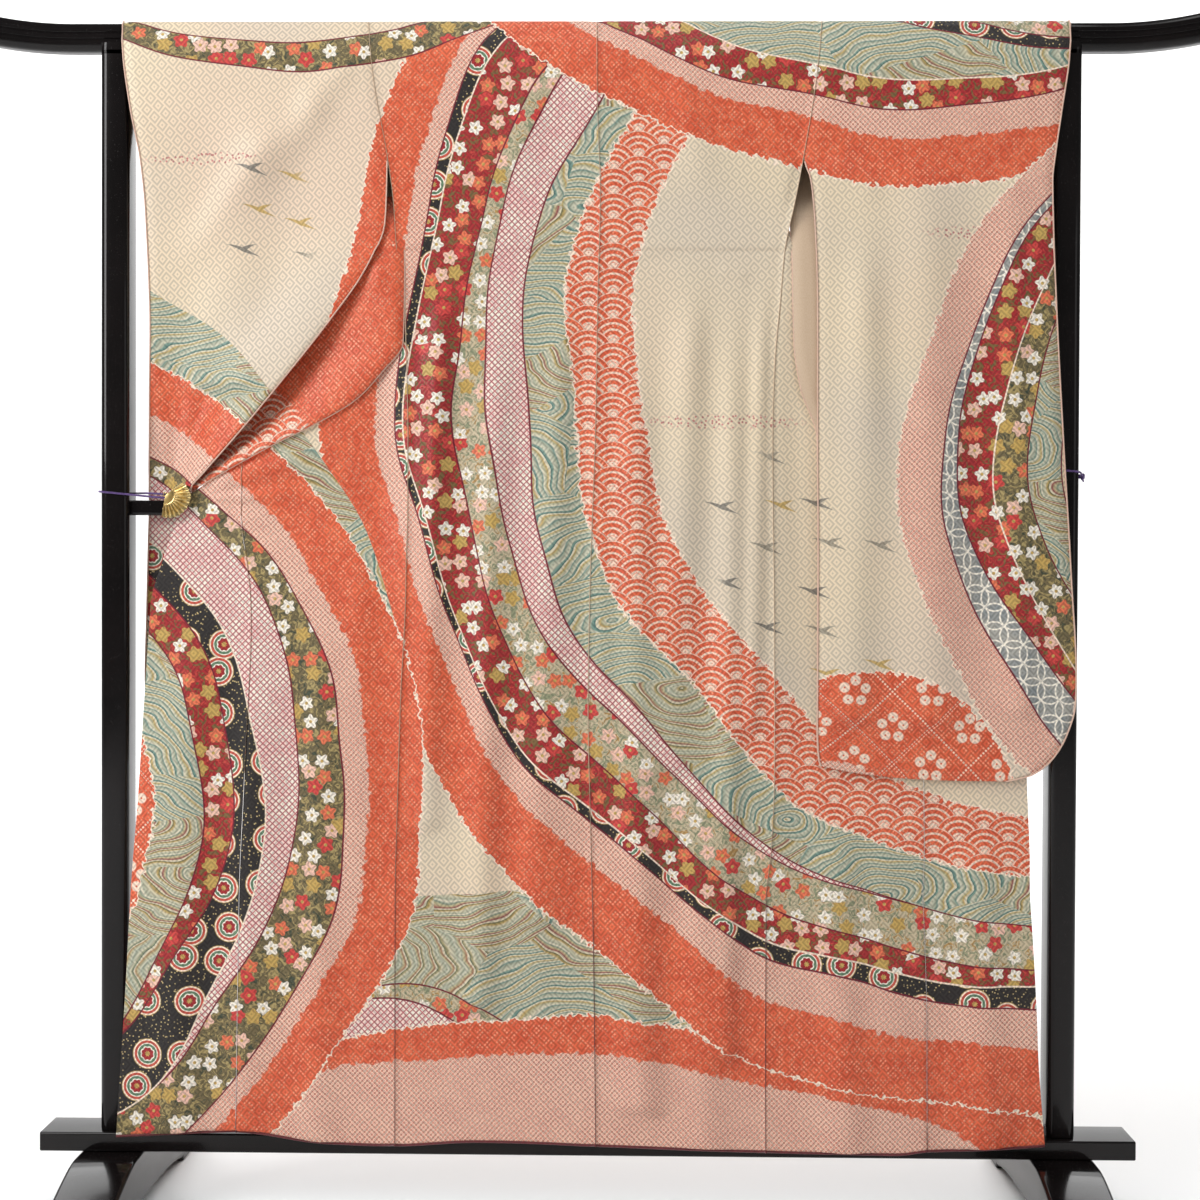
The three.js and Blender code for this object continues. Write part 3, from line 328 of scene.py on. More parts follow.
def levels(low, high, step, extra=()):
    """Heights from low to high about a step apart, with the extra ones put in."""
    count = max(2, round((high - low) / step) + 1)
    return np.unique(np.concatenate([np.linspace(low, high, count), np.array(extra, float)]))


# ------------------------------------------------------------------ sheets of cloth as grids of points
BODY_SPLIT = (16, 10, 22)
OKUMI_SPLIT = (8, 9, 9)
COLLAR_SPLIT = (0, 8, 10)
HEM_ROWS = (112, 116)
TUCK_ROWS = (1366, 1368, 1370, 1372, 1374, 1376, 1379)
CLIP_ROWS = (1013, 1016, 1019, 1022, 1030)
FAR_LENGTH = 3430       # a height on the near side plus its height on the far side, along the cloth


class Sheet:
    """A grid of points with, for each, its place in the dyed design and along the weave."""

    def __init__(self):
        self.points = []
        self.place = []
        self.weave = []

    def row(self, points, u, v, drawn, weave_u, weave_v):
        count = len(points)
        self.points.append(points)
        self.place.append(np.stack([np.broadcast_to(a, count) for a in (u, v, drawn)], axis=-1))
        self.weave.append(np.stack([np.broadcast_to(a, count) for a in (weave_u, weave_v, 0.0)], axis=-1))

    def front_row(self, half, s, z, points):
        """A row of the front, whose design runs on sideways from the back's."""
        flat_x = half.seam(z) + half.side * s
        weave_x = half.seam(z) - half.side * s
        if z > WRAP_LEVEL:
            drawn = ease((z - WRAP_TOP) / DYED_FADE)
            self.row(points, points[:, 0], FAR_LENGTH - z, drawn, weave_x, FAR_LENGTH - z)
        else:
            self.row(points, flat_x, points[:, 2], ease((FRONT_TOP - z) / DYED_FADE), weave_x, FAR_LENGTH - z)


def narrow_ends(values, cell=0.9):
    """Moves the second and the last but one value close to the ends."""
    values = np.array(values, float)
    for near, end in ((1, 0), (-2, -1)):
        if abs(values[near] - values[end]) > cell:
            values[near] = values[end] + math.copysign(cell, values[near] - values[end])
    return values


def neck_y(half, z):
    share = (POST["cheek_top"] - z) / (POST["cheek_top"] - SHOULDER_LEVEL)
    return mix(POST["depth"] / 2 + 2, float(half.far_y(SHOULDER_LEVEL)), share)


def body_sheet(half):
    """Back and front of one side in one length, from the back's hem over the rail to the front's hem."""
    side = half.side
    sheet = Sheet()
    count = sum(BODY_SPLIT)

    def front_stops(z):
        return narrow_ends(stops(half, z, GAP / 2, float(half.front(z)) - GAP / 2, BODY_SPLIT))

    even = narrow_ends(np.linspace(0, BACK_WIDTH, count + 1)) / BACK_WIDTH
    top = front_stops(SHOULDER_LEVEL)
    top = top / top[-1]
    edge = lambda z: float(half.seam(z)) - side * GAP / 2
    middle = lambda z: float(centre_x(z)) + side * GAP / 2
    for z in levels(HEM_LEVEL, SHOULDER_LEVEL, ROW_STEP, HEM_ROWS + TUCK_ROWS):
        x = mix(edge(z), middle(z), even)
        fold = drape(x, z) + creases(x, z)
        tuck = -0.9 * math.exp(-((z - 1371) / 1.6) ** 2)
        points = np.stack([x, back_y(z) - fold - tuck, z + hem_shift(x, z)], axis=-1)
        sheet.row(points, x, points[:, 2], 1.0, x, z)
    run = 0.0
    last = (float(back_y(SHOULDER_LEVEL)), SHOULDER_LEVEL)
    for k, (y, z) in enumerate(OVER_RAIL):
        share = mix(even, top, k / (len(OVER_RAIL) - 1))
        x = mix(edge(z), middle(z), share)
        run += math.hypot(y - last[0], z - last[1])
        last = (y, z)
        sheet.row(np.stack([x, np.full_like(x, y), np.full_like(x, z)], axis=-1), x, SHOULDER_LEVEL + run, 1.0,
                  x, SHOULDER_LEVEL + run)
    for z, reach in zip(NECK_Z, NECK_REACH):
        x = mix(edge(z), float(centre_x(z)) + side * reach, top)
        y = np.full_like(x, neck_y(half, z))
        sheet.row(np.stack([x, y, np.full_like(x, z)], axis=-1), x, FAR_LENGTH - z, 1.0, x, FAR_LENGTH - z)
    for z in levels(HEM_LEVEL, SHOULDER_LEVEL, ROW_STEP, HEM_ROWS + CLIP_ROWS)[::-1]:
        s = front_stops(z)
        sheet.front_row(half, s, z, front_point(half, s, z))
    return sheet


def okumi_sheet(half):
    """The narrow overlap panel beside the front."""
    sheet = Sheet()
    for z in levels(HEM_LEVEL, OKUMI_TOP, ROW_STEP, HEM_ROWS + CLIP_ROWS)[::-1]:
        start = float(half.front(z)) + GAP / 2
        end = float(half.front(z) + half.okumi(z)) - GAP / 2
        s = narrow_ends(stops(half, z, start, end, OKUMI_SPLIT))
        sheet.front_row(half, s, z, front_point(half, s, z))
    return sheet


def collar_key_rows(half):
    """The collar's rows at the neck, from the sewn edge to the free edge."""
    sewn = [front_point(half, float(half.front(z)) + 0.2, z) for z in (1600, SHOULDER_LEVEL)]
    neck = [np.array([float(centre_x(z)) + half.side * reach, neck_y(half, z), z - 0.8])
            for z, reach in zip(NECK_Z, NECK_REACH)][::-1]
    share = np.linspace(0, 1, sum(COLLAR_SPLIT) + 1)[:, None]
    rows = []
    for edge, (half_width, z) in zip(sewn + neck, NECK_FREE_EDGE):
        free = np.array([float(centre_x(z)) + half.side * half_width, float(half.far_y(SHOULDER_LEVEL)), z])
        rows.append(mix(edge[None, :], free[None, :], share))
    return rows


def collar_sheet():
    """From the lower end of the left front, round the neck, to the lower end of the right one."""
    lower = []
    for half in HALVES:
        rows = []
        for z in levels(COLLAR_END[half.name], 1560, ROW_STEP):
            start = float(half.front(z) + half.okumi(z)) + COLLAR_GAP
            s = stops(half, z, start, start + COLLAR_WIDTH, COLLAR_SPLIT)
            rows.append((s, z, front_point(half, s, z)))
        lower.append(rows)
    keys = [lower[0][-1][2]] + collar_key_rows(HALVES[0]) + collar_key_rows(HALVES[1])[::-1]
    keys = np.array(keys + [lower[1][-1][2]])
    dense = [mix(keys[k], keys[k + 1], t) for k in range(len(keys) - 1) for t in np.linspace(0, 1, 7)[:-1]]
    dense = np.array(dense + [keys[-1]])
    for _ in range(6):
        dense[1:-1] = 0.25 * dense[:-2] + 0.5 * dense[1:-1] + 0.25 * dense[2:]
    sheet = Sheet()
    across = np.linspace(0, COLLAR_WIDTH, sum(COLLAR_SPLIT) + 1)
    run = 0.0
    for s, z, points in lower[0][:-1]:
        run = z
        sheet.row(points, HALVES[0].seam(z) - s, z, ease((FRONT_TOP - z) / DYED_FADE), s - s[0], run)
    for points in dense:
        run += ROW_STEP
        sheet.row(points, points[:, 0], 1700, 0.0, across, run)
    for s, z, points in lower[1][:-1][::-1]:
        run += ROW_STEP
        sheet.row(points, HALVES[1].seam(z) + s, z, ease((FRONT_TOP - z) / DYED_FADE), s - s[0], run)
    return sheet


CLIP_POINT = (-600, 1022)
RIGHT_SLEEVE, FACING = 1.0, -1.0      # what the third part of a weave place marks


def gathers(x, z):
    """Folds that fan out from the clip over the gathered sleeve."""
    dx, dz = x - CLIP_POINT[0], z - CLIP_POINT[1]
    far = np.hypot(dx, dz)
    angle = np.arctan2(dz, dx)
    ridge = 0.5 + 0.5 * np.sin(15 * angle + 0.9 * np.sin(4 * angle + 1))
    return 3.4 * ease((far - 30) / 70) * ease((470 - far) / 330) * ridge ** 1.5 * ease((z - 1040) / 25)


def sleeve_sheet(side, near_rows, far_rows, half):
    """One sleeve: the near layer from its lower edge up, over the rail, and down again behind."""
    layers = [[Profile(rows, column) for column in (1, 2, 3, 4)] for rows in (near_rows, far_rows)]
    share = narrow_ends(np.linspace(0, SLEEVE_WIDTH, 45)) / SLEEVE_WIDTH
    sheet = Sheet()
    fine = np.arange(1008, 1046, 1.5) if side < 0 else ()
    heights = levels(SLEEVE_BOTTOM, SHOULDER_LEVEL, ROW_STEP, list(fine) + [628, 631, 636, 641])

    def row(layer, z):
        inner_x, outer_x, inner_y, outer_y = (profile(z) for profile in layers[layer])
        if z >= ARMHOLE_LEVEL:
            inner_x = half.seam(z) + side * GAP / 2
            inner_y = back_y(z) if layer == 0 else half.far_y(z)
        x = mix(inner_x, outer_x, share)
        rise = 0.0
        if side > 0:
            rise = 20 * (1 - share) ** 3 * np.clip(1 - (z - SLEEVE_BOTTOM) / 120, 0, 1)
        fold = drape(x, z) + creases(x, z)
        if side < 0:
            fold = fold * ease((z - 1055) / 40) + gathers(x, z)
        fold = fold * (1.0 if layer == 0 else float(ease((UNDERARM_LEVEL - z) / 50)))
        y = mix(inner_y, outer_y, ease(share if side > 0 else share * 1.5)) - fold
        width = abs(float(outer_x - inner_x))
        closed = float(ease((1340 - z) / 60)) if side > 0 else float(ease((1000 - z) / 60))
        sewn = closed * (1 - ease((1 - share) * width / 12))
        sewn = np.maximum(sewn, 1 - ease((z - SLEEVE_BOTTOM) / 12))
        y = y + (1.4 if side > 0 else 1.7) * sewn * (1 if layer == 0 else -1)
        points = np.stack([x, y, z + rise + np.zeros_like(x)], axis=-1)
        if layer == 0:
            sheet.row(points, x, z, 1.0, x, z)
        elif z > WRAP_LEVEL:
            sheet.row(points, x, FAR_LENGTH - z, ease((z - WRAP_TOP) / DYED_FADE), x, FAR_LENGTH - z)
        else:
            visible = x if side < 0 else 2 * outer_x - x
            sheet.row(points, visible, z, ease((FRONT_TOP - z) / DYED_FADE), x, FAR_LENGTH - z)

    for z in heights:
        row(0, z)
    run = 0.0
    last = (float(back_y(SHOULDER_LEVEL)), SHOULDER_LEVEL)
    for y, z in OVER_RAIL:
        run += math.hypot(y - last[0], z - last[1])
        last = (y, z)
        x = mix(float(half.seam(z)) + side * GAP / 2, float(layers[0][1](z)), share)
        sheet.row(np.stack([x, np.full_like(x, y), np.full_like(x, z)], axis=-1), x, SHOULDER_LEVEL + run, 1.0,
                  x, SHOULDER_LEVEL + run)
    for z in heights[::-1]:
        row(1, z)
    return sheet


# ------------------------------------------------------------------ meshes
def link(name, mesh):
    piece = bpy.data.objects.new(name, mesh)
    bpy.context.scene.collection.objects.link(piece)
    return piece


def new_mesh(name, points, faces, looks, face_looks=None):
    """A mesh in metres from points in millimetres."""
    mesh = bpy.data.meshes.new(name)
    mesh.from_pydata((np.asarray(points) * MM).tolist(), [], np.asarray(faces).tolist()
                     if isinstance(faces, np.ndarray) else faces)
    for look in looks:
        mesh.materials.append(look)
    if face_looks is not None:
        mesh.polygons.foreach_set("material_index", np.asarray(face_looks, dtype=np.int32))
    mesh.polygons.foreach_set("use_smooth", np.ones(len(mesh.polygons), dtype=bool))
    mesh.update()
    return mesh


def vector_attribute(mesh, name, values):
    layer = mesh.attributes.new(name, "FLOAT_VECTOR", "POINT")
    layer.data.foreach_set("vector", np.asarray(values, dtype=np.float32).ravel())


def grid_normals(grid):
    """The unit normal at each point of a grid."""
    across = np.empty_like(grid)
    across[:, 1:-1] = grid[:, 2:] - grid[:, :-2]
    across[:, 0] = -1.5 * grid[:, 0] + 2 * grid[:, 1] - 0.5 * grid[:, 2]
    across[:, -1] = 1.5 * grid[:, -1] - 2 * grid[:, -2] + 0.5 * grid[:, -3]
    along = np.empty_like(grid)
    along[1:-1] = grid[2:] - grid[:-2]
    along[0] = grid[1] - grid[0]
    along[-1] = grid[-1] - grid[-2]
    normal = np.cross(across, along)
    return normal / np.maximum(np.linalg.norm(normal, axis=-1, keepdims=True), 1e-9)


def row_lengths(grid):
    """Distances along each row from its first point and from its last."""
    steps = np.linalg.norm(np.diff(grid, axis=1), axis=-1)
    start = np.concatenate([np.zeros((len(grid), 1)), np.cumsum(steps, axis=1)], axis=1)
    return start, start[:, -1:] - start


def cloth_piece(name, sheet, thickness, outward, grooves, looks, faced=None):
    """A thin closed shell: silk outside, lining inside, with its seams drawn in a little.
    The rows in faced have dyed silk inside too."""
    grid = np.array(sheet.points, float)
    rows, columns = grid.shape[:2]
    normals = grid_normals(grid) * outward
    start, end = row_lengths(grid)
    draw_in = grooves[0] * np.exp(-(start / 2.6) ** 2) + grooves[1] * np.exp(-(end / 2.6) ** 2)
    grid = grid - normals * draw_in[..., None]
    normals = grid_normals(grid) * outward
    outer = (grid + normals * thickness / 2).reshape(-1, 3)
    inner = (grid - normals * thickness / 2).reshape(-1, 3)
    index = np.arange(rows * columns).reshape(rows, columns)
    a, b, c, d = index[:-1, :-1], index[:-1, 1:], index[1:, 1:], index[1:, :-1]
    front = np.stack([a, b, c, d], axis=-1).reshape(-1, 4)
    if outward < 0:
        front = front[:, ::-1]
    back = front[:, ::-1] + rows * columns
    loop = np.concatenate([index[0, :], index[1:, -1], index[-1, :-1][::-1], index[1:-1, 0][::-1]])
    following = np.roll(loop, -1)
    rim = np.stack([loop, loop + rows * columns, following + rows * columns, following], axis=-1)
    if outward < 0:
        rim = rim[:, ::-1]
    faces = np.concatenate([front, back, rim])
    inside = np.ones((rows - 1, columns - 1))
    weave = np.tile(np.array(sheet.weave).reshape(-1, 3), (2, 1))
    if faced:
        inside[faced[0]:faced[1]] = 0
        weave.reshape(2, rows, columns, 3)[1, faced[0]:faced[1] + 1, :, 2] = FACING
    face_looks = np.concatenate([np.zeros(len(front)), inside.reshape(-1), np.ones(len(rim))])
    mesh = new_mesh(name, np.concatenate([outer, inner]), faces, looks, face_looks)
    vector_attribute(mesh, "place", np.tile(np.array(sheet.place).reshape(-1, 3), (2, 1)))
    vector_attribute(mesh, "weave", weave)
    return link(name, mesh), grid, normals


def frames_along(path):
    """Tangent, side and up at each point of a path, without twist."""
    tangent = np.gradient(path, axis=0)
    tangent /= np.linalg.norm(tangent, axis=1, keepdims=True)
    up = np.cross(tangent[0], (0.3, 0.1, 1.0))
    ups = []
    for t in tangent:
        up = up - t * np.dot(up, t)
        up = up / np.linalg.norm(up)
        ups.append(up)
    ups = np.array(ups)
    return tangent, np.cross(tangent, ups), ups


def tube_parts(path, radius, sides=8):
    """Points and faces of a round tube along a path, closed at both ends."""
    path = np.asarray(path, float)
    _, side, up = frames_along(path)
    angle = np.linspace(0, 2 * math.pi, sides, endpoint=False)
    radius = np.broadcast_to(radius, len(path))[:, None, None]
    rings = path[:, None, :] + radius * (np.cos(angle)[None, :, None] * side[:, None, :]
                                         + np.sin(angle)[None, :, None] * up[:, None, :])
    return rings.reshape(-1, 3), ring_faces(len(path), sides)


def ring_faces(count, sides):
    """Faces of a tube made of rings, with flat ends."""
    index = np.arange(count * sides).reshape(count, sides)
    turned = np.roll(index, -1, axis=1)
    quads = np.stack([index[:-1], turned[:-1], turned[1:], index[1:]], axis=-1).reshape(-1, 4).tolist()
    return quads + [index[0, ::-1].tolist(), index[-1].tolist()]


def joined(parts):
    """Several lists of points and faces as one."""
    points, faces = [], []
    for part_points, part_faces in parts:
        base = sum(len(p) for p in points)
        points.append(np.asarray(part_points))
        faces += [[i + base for i in face] for face in part_faces]
    return np.concatenate(points), faces


def facing_out(mesh):
    """Turns the faces of a closed mesh to look outwards."""
    work = bmesh.new()
    work.from_mesh(mesh)
    bmesh.ops.recalc_face_normals(work, faces=work.faces)
    work.to_mesh(mesh)
    work.free()
    mesh.update()


def smooth_path(points, step):
    """A Catmull-Rom curve through the points, resampled about a step apart."""
    points = np.asarray(points, float)
    ends = np.vstack([2 * points[0] - points[1], points, 2 * points[-1] - points[-2]])
    dense = []
    for i in range(1, len(ends) - 2):
        p0, p1, p2, p3 = ends[i - 1:i + 3]
        t = np.linspace(0, 1, 12, endpoint=False)[:, None]
        dense.append(0.5 * (2 * p1 + (p2 - p0) * t + (2 * p0 - 5 * p1 + 4 * p2 - p3) * t ** 2
                            + (3 * p1 - p0 - 3 * p2 + p3) * t ** 3))
    dense = np.vstack(dense + [points[-1:]])
    run = np.concatenate([[0], np.cumsum(np.linalg.norm(np.diff(dense, axis=0), axis=1))])
    at = np.linspace(0, run[-1], max(3, int(run[-1] / step)))
    return np.stack([np.interp(at, run, dense[:, k]) for k in range(3)], axis=-1)


# ------------------------------------------------------------------ shader maths
def srgb(red, green, blue):
    """A colour from 0 to 255 as Blender's linear one."""
    parts = []
    for value in (red, green, blue):
        v = value / 255
        parts.append(v / 12.92 if v <= 0.04045 else ((v + 0.055) / 1.055) ** 2.4)
    return (*parts, 1.0)


class Value:
    """A number that varies over a surface. Arithmetic on it adds Math nodes."""

    def __init__(self, net, socket):
        self.net = net
        self.socket = socket

    def __add__(self, other):
        return self.net.maths("ADD", self, other)

    def __radd__(self, other):
        return self.net.maths("ADD", other, self)

    def __sub__(self, other):
        return self.net.maths("SUBTRACT", self, other)

    def __rsub__(self, other):
        return self.net.maths("SUBTRACT", other, self)

    def __mul__(self, other):
        return self.net.maths("MULTIPLY", self, other)

    def __rmul__(self, other):
        return self.net.maths("MULTIPLY", other, self)

    def __truediv__(self, other):
        return self.net.maths("DIVIDE", self, other)

    def __rtruediv__(self, other):
        return self.net.maths("DIVIDE", other, self)

    def __neg__(self):
        return self.net.maths("MULTIPLY", self, -1.0)

    def __abs__(self):
        return self.net.maths("ABSOLUTE", self)

    def over(self, edge, softness):
        """1 where the value is above the edge, 0 below it."""
        return self.net.maths("MULTIPLY_ADD", self, 1 / softness, 0.5 - edge / softness, clamp=True)

    def under(self, edge, softness):
        return self.net.maths("MULTIPLY_ADD", self, -1 / softness, 0.5 + edge / softness, clamp=True)

    def triangle(self, period):
        """The distance to the nearest whole number of periods."""
        return self.net.maths("PINGPONG", self, period / 2)


class Net:
    """The nodes of one material."""

    def __init__(self, name):
        self.material = bpy.data.materials.new(name)
        self.material.use_nodes = True
        self.tree = self.material.node_tree
        self.tree.nodes.clear()

    def node(self, kind, settings=(), values=()):
        """A node of a kind, its settings first, then the values or links of its sockets."""
        node = self.tree.nodes.new(kind)
        for name, setting in dict(settings).items():
            if name == "stops":
                self.stops(node.color_ramp, setting)
            else:
                setattr(node, name, setting)
        pairs = values.items() if isinstance(values, dict) else enumerate(values)
        for key, value in pairs:
            self.put(node.inputs[key], value)
        return node

    @staticmethod
    def stops(ramp, stops):
        while len(ramp.elements) < len(stops):
            ramp.elements.new(0.5)
        for element, (position, colour) in zip(ramp.elements, stops):
            element.position = position
            element.color = colour

    def put(self, socket, value):
        if isinstance(value, Value):
            self.tree.links.new(value.socket, socket)
        elif isinstance(value, bpy.types.NodeSocket):
            self.tree.links.new(value, socket)
        else:
            socket.default_value = value

    def maths(self, operation, *values, clamp=False):
        node = self.node("ShaderNodeMath", {"operation": operation, "use_clamp": clamp}, values)
        return Value(self, node.outputs[0])

    def vector(self, operation, *values):
        return self.node("ShaderNodeVectorMath", {"operation": operation}, values).outputs[0]

    def length(self, vector):
        node = self.node("ShaderNodeVectorMath", {"operation": "LENGTH"}, [vector])
        return Value(self, node.outputs["Value"])

    def distance(self, vector, point):
        node = self.node("ShaderNodeVectorMath", {"operation": "DISTANCE"}, [vector, point])
        return Value(self, node.outputs["Value"])

    def scaled(self, vector, factor):
        return self.vector("MULTIPLY", vector, (factor, factor, factor))

    def turned(self, vector, degrees, period):
        """The vector turned about Z and counted in periods."""
        return self.node("ShaderNodeMapping", {"vector_type": "POINT"}, {
            "Vector": vector, "Rotation": (0, 0, math.radians(degrees)),
            "Scale": (1 / period, 1 / period, 1)}).outputs[0]

    def within_cell(self, vector):
        """The place in its cell, from -0.5 to 0.5."""
        return self.vector("SUBTRACT", self.vector("FRACTION", vector), (0.5, 0.5, 0))

    def parts(self, vector):
        node = self.node("ShaderNodeSeparateXYZ", (), [vector])
        return Value(self, node.outputs[0]), Value(self, node.outputs[1]), Value(self, node.outputs[2])

    def combined(self, x, y, z=0.0):
        return self.node("ShaderNodeCombineXYZ", (), [x, y, z]).outputs[0]

    def mix(self, factor, first, second):
        node = self.node("ShaderNodeMix", {"data_type": "RGBA", "clamp_factor": True})
        self.put(node.inputs[0], factor)
        self.put(node.inputs[6], first)
        self.put(node.inputs[7], second)
        return node.outputs[2]

    def ramp(self, factor, stops, steps=False):
        settings = {"stops": stops}
        node = self.node("ShaderNodeValToRGB", settings, [factor])
        node.color_ramp.interpolation = "CONSTANT" if steps else "LINEAR"
        return node.outputs[0]

    def noise(self, vector, size, detail=2.0, roughness=0.5, distortion=0.0, dimensions="2D"):
        """Noise from 0 to 1 with lumps of about the given size."""
        node = self.node("ShaderNodeTexNoise", {"noise_dimensions": dimensions}, {
            "Vector": vector, "Scale": 1 / size, "Detail": detail, "Roughness": roughness,
            "Distortion": distortion})
        return Value(self, node.outputs[0])

    def cells(self, vector, size, randomness):
        """Scattered cells: distance and direction from the nearest middle, and a random colour."""
        node = self.node("ShaderNodeTexVoronoi", {"voronoi_dimensions": "2D", "feature": "F1"}, {
            "Vector": vector, "Scale": 1 / size, "Randomness": randomness})
        away = Value(self, node.outputs["Distance"]) * size
        return away, node.outputs["Color"], node.outputs["Position"]

    def attribute(self, name):
        return self.node("ShaderNodeAttribute", {"attribute_name": name}).outputs["Vector"]

    def bump(self, height, strength, distance):
        return self.node("ShaderNodeBump", (), {
            "Strength": strength, "Distance": distance, "Height": height}).outputs[0]

    def finish(self, colour, **sockets):
        """Ends the material in a Principled shader. Names use _ for a space."""
        shader = self.node("ShaderNodeBsdfPrincipled", (), {"Base Color": colour})
        for name, value in sockets.items():
            self.put(shader.inputs[name.replace("_", " ")], value)
        output = self.node("ShaderNodeOutputMaterial")
        self.tree.links.new(shader.outputs[0], output.inputs[0])
        return self.material


# ------------------------------------------------------------------ dyed patterns
PALE = srgb(246, 226, 205)
WHITE = srgb(243, 236, 222)
GOLD_LEAF = srgb(196, 164, 92)
RED = srgb(163, 42, 46)
WINE_LINE = srgb(116, 24, 44)
BLACK_DYE = srgb(43, 39, 38)
SAGE = srgb(164, 168, 146)
OLIVE = srgb(112, 100, 70)


class Dyer:
    """The patterns dyed on the silk, all drawn in millimetres on one flat place."""

    def __init__(self, net, flat, colours):
        self.net = net
        self.flat = flat
        self.x, self.z, _ = net.parts(flat)
        self.ground_colour = tuple(colours.ground) + (1.0,)
        self.coral = tuple(colours.coral) + (1.0,)
        self.pink = tuple(colours.pink) + (1.0,)
        self.made = {}

    def get(self, name):
        """A pattern's colour, made when it is first asked for."""
        if name not in self.made:
            self.made[name] = getattr(self, name)()
        return self.made[name]

    def drawn_place(self):
        """The place as the dyer's hand moves the outlines."""
        if "drawn" not in self.made:
            net = self.net
            wander = net.node("ShaderNodeTexNoise", {"noise_dimensions": "2D"}, {
                "Vector": self.flat, "Scale": 1 / 320, "Detail": 1.0, "Roughness": 0.35}).outputs["Color"]
            moved = net.vector("MULTIPLY", net.vector("SUBTRACT", wander, (0.5, 0.5, 0.5)), (60, 60, 0))
            self.made["drawn"] = net.vector("ADD", self.flat, moved)
        return self.made["drawn"]

    def teeth(self):
        """How far the tied edges of a coral or pink field reach out, in mm."""
        if "teeth" not in self.made:
            notch = self.net.noise(self.flat, 8, detail=0)
            self.made["teeth"] = (notch - 0.5) * 10 + self.knots() * 3.5
        return self.made["teeth"]

    def knots(self):
        """The tied dots' distance from their middles, in cells."""
        if "knots" not in self.made:
            cell = self.net.within_cell(self.net.turned(self.flat, 45, 4.9))
            self.made["knots"] = self.net.length(cell)
        return self.made["knots"]

    def mottle(self):
        if "mottle" not in self.made:
            self.made["mottle"] = self.net.noise(self.flat, 34, detail=3, roughness=0.62)
        return self.made["mottle"]

    def ground(self):
        net = self.net
        warm = net.noise(self.flat, 430, detail=1).over(0.56, 0.3) * 0.5
        shade = net.mix(warm, self.ground_colour, srgb(227, 199, 180))
        cool = net.noise(self.flat, 290, detail=1, roughness=0.4).under(0.4, 0.25) * 0.4
        return net.mix(cool, shade, srgb(204, 194, 184))

    def shibori(self):
        """Coral with the fine pale grain of tied silk."""
        net = self.net
        fine = net.noise(self.flat, 9, detail=1)
        grain = self.knots().under(0.3, 0.25) * fine.over(0.52, 0.2) * 0.62
        deep = net.mix(self.mottle().over(0.47, 0.3) * 0.6, self.coral, srgb(202, 78, 50))
        return net.mix(grain, deep, srgb(248, 184, 150))

    def kanoko(self):
        """Pink all over with small pale rings."""
        net = self.net
        rings = self.knots().under(0.4, 0.14) - self.knots().under(0.16, 0.1)
        base = net.mix(self.mottle().over(0.5, 0.4) * 0.6, self.pink, srgb(226, 164, 142))
        return net.mix(rings * 0.85, base, PALE)

    def lattice(self):
        """White squares on a fine red grid."""
        net = self.net
        cell = net.vector("ABSOLUTE", net.within_cell(net.turned(self.flat, 45, 6.4)))
        across, along, _ = net.parts(cell)
        grid = net.maths("MAXIMUM", across, along).over(0.37, 0.09)
        pale = net.mix(self.mottle().over(0.5, 0.2) * 0.5, WHITE, srgb(236, 190, 186))
        return net.mix(grid * 0.85, pale, srgb(176, 48, 66))

    def scales(self):
        """Rows of overlapping round scales in pale lines on coral."""
        net = self.net
        radius, step = 35.0, 17.5
        row = net.maths("FLOOR", (self.z - radius) / step) + 1
        dz = self.z - row * step
        shift = net.maths("FLOORED_MODULO", row, 2.0) * radius
        dx = (self.x - shift).triangle(2 * radius)
        first = net.length(net.combined(dx, dz))
        second = net.length(net.combined(radius - dx, dz - step))
        third = net.length(net.combined(dx, dz - 2 * step))
        later = third + (second - third) * second.under(radius, 0.8)
        away = later + (first - later) * first.under(radius, 0.8)
        line = (away - radius).triangle(8.75).under(1.5, 1.2)
        core = away.under(6.5, 1.5)
        mark = net.maths("MAXIMUM", line, core) * (1 - self.knots().under(0.2, 0.15) * 0.6)
        return net.mix(mark * 0.85, self.get("shibori"), PALE)

    def plums(self):
        """A diamond lattice with five tied dots in each diamond, on coral."""
        net = self.net
        side = 76.0
        cell = net.within_cell(net.turned(self.flat, 45, side))
        across, along, _ = net.parts(net.vector("ABSOLUTE", cell))
        line = net.maths("MAXIMUM", across, along).over(0.472, 0.012)
        cx, cz, _ = net.parts(cell)
        fifth = 2 * math.pi / 5
        turn = (net.maths("ARCTAN2", cz, cx) + 0.2).triangle(fifth)
        r = net.length(cell) * side
        reach = 15.5
        dot = net.maths("SQRT", r * r + reach * reach - r * net.maths("COSINE", turn) * (2 * reach))
        mark = net.maths("MAXIMUM", dot.under(7.2, 1.6) - dot.under(1.4, 0.8),
                         line * (1 - self.knots().over(0.3, 0.2)))
        return net.mix(mark * 0.88, self.get("shibori"), PALE)

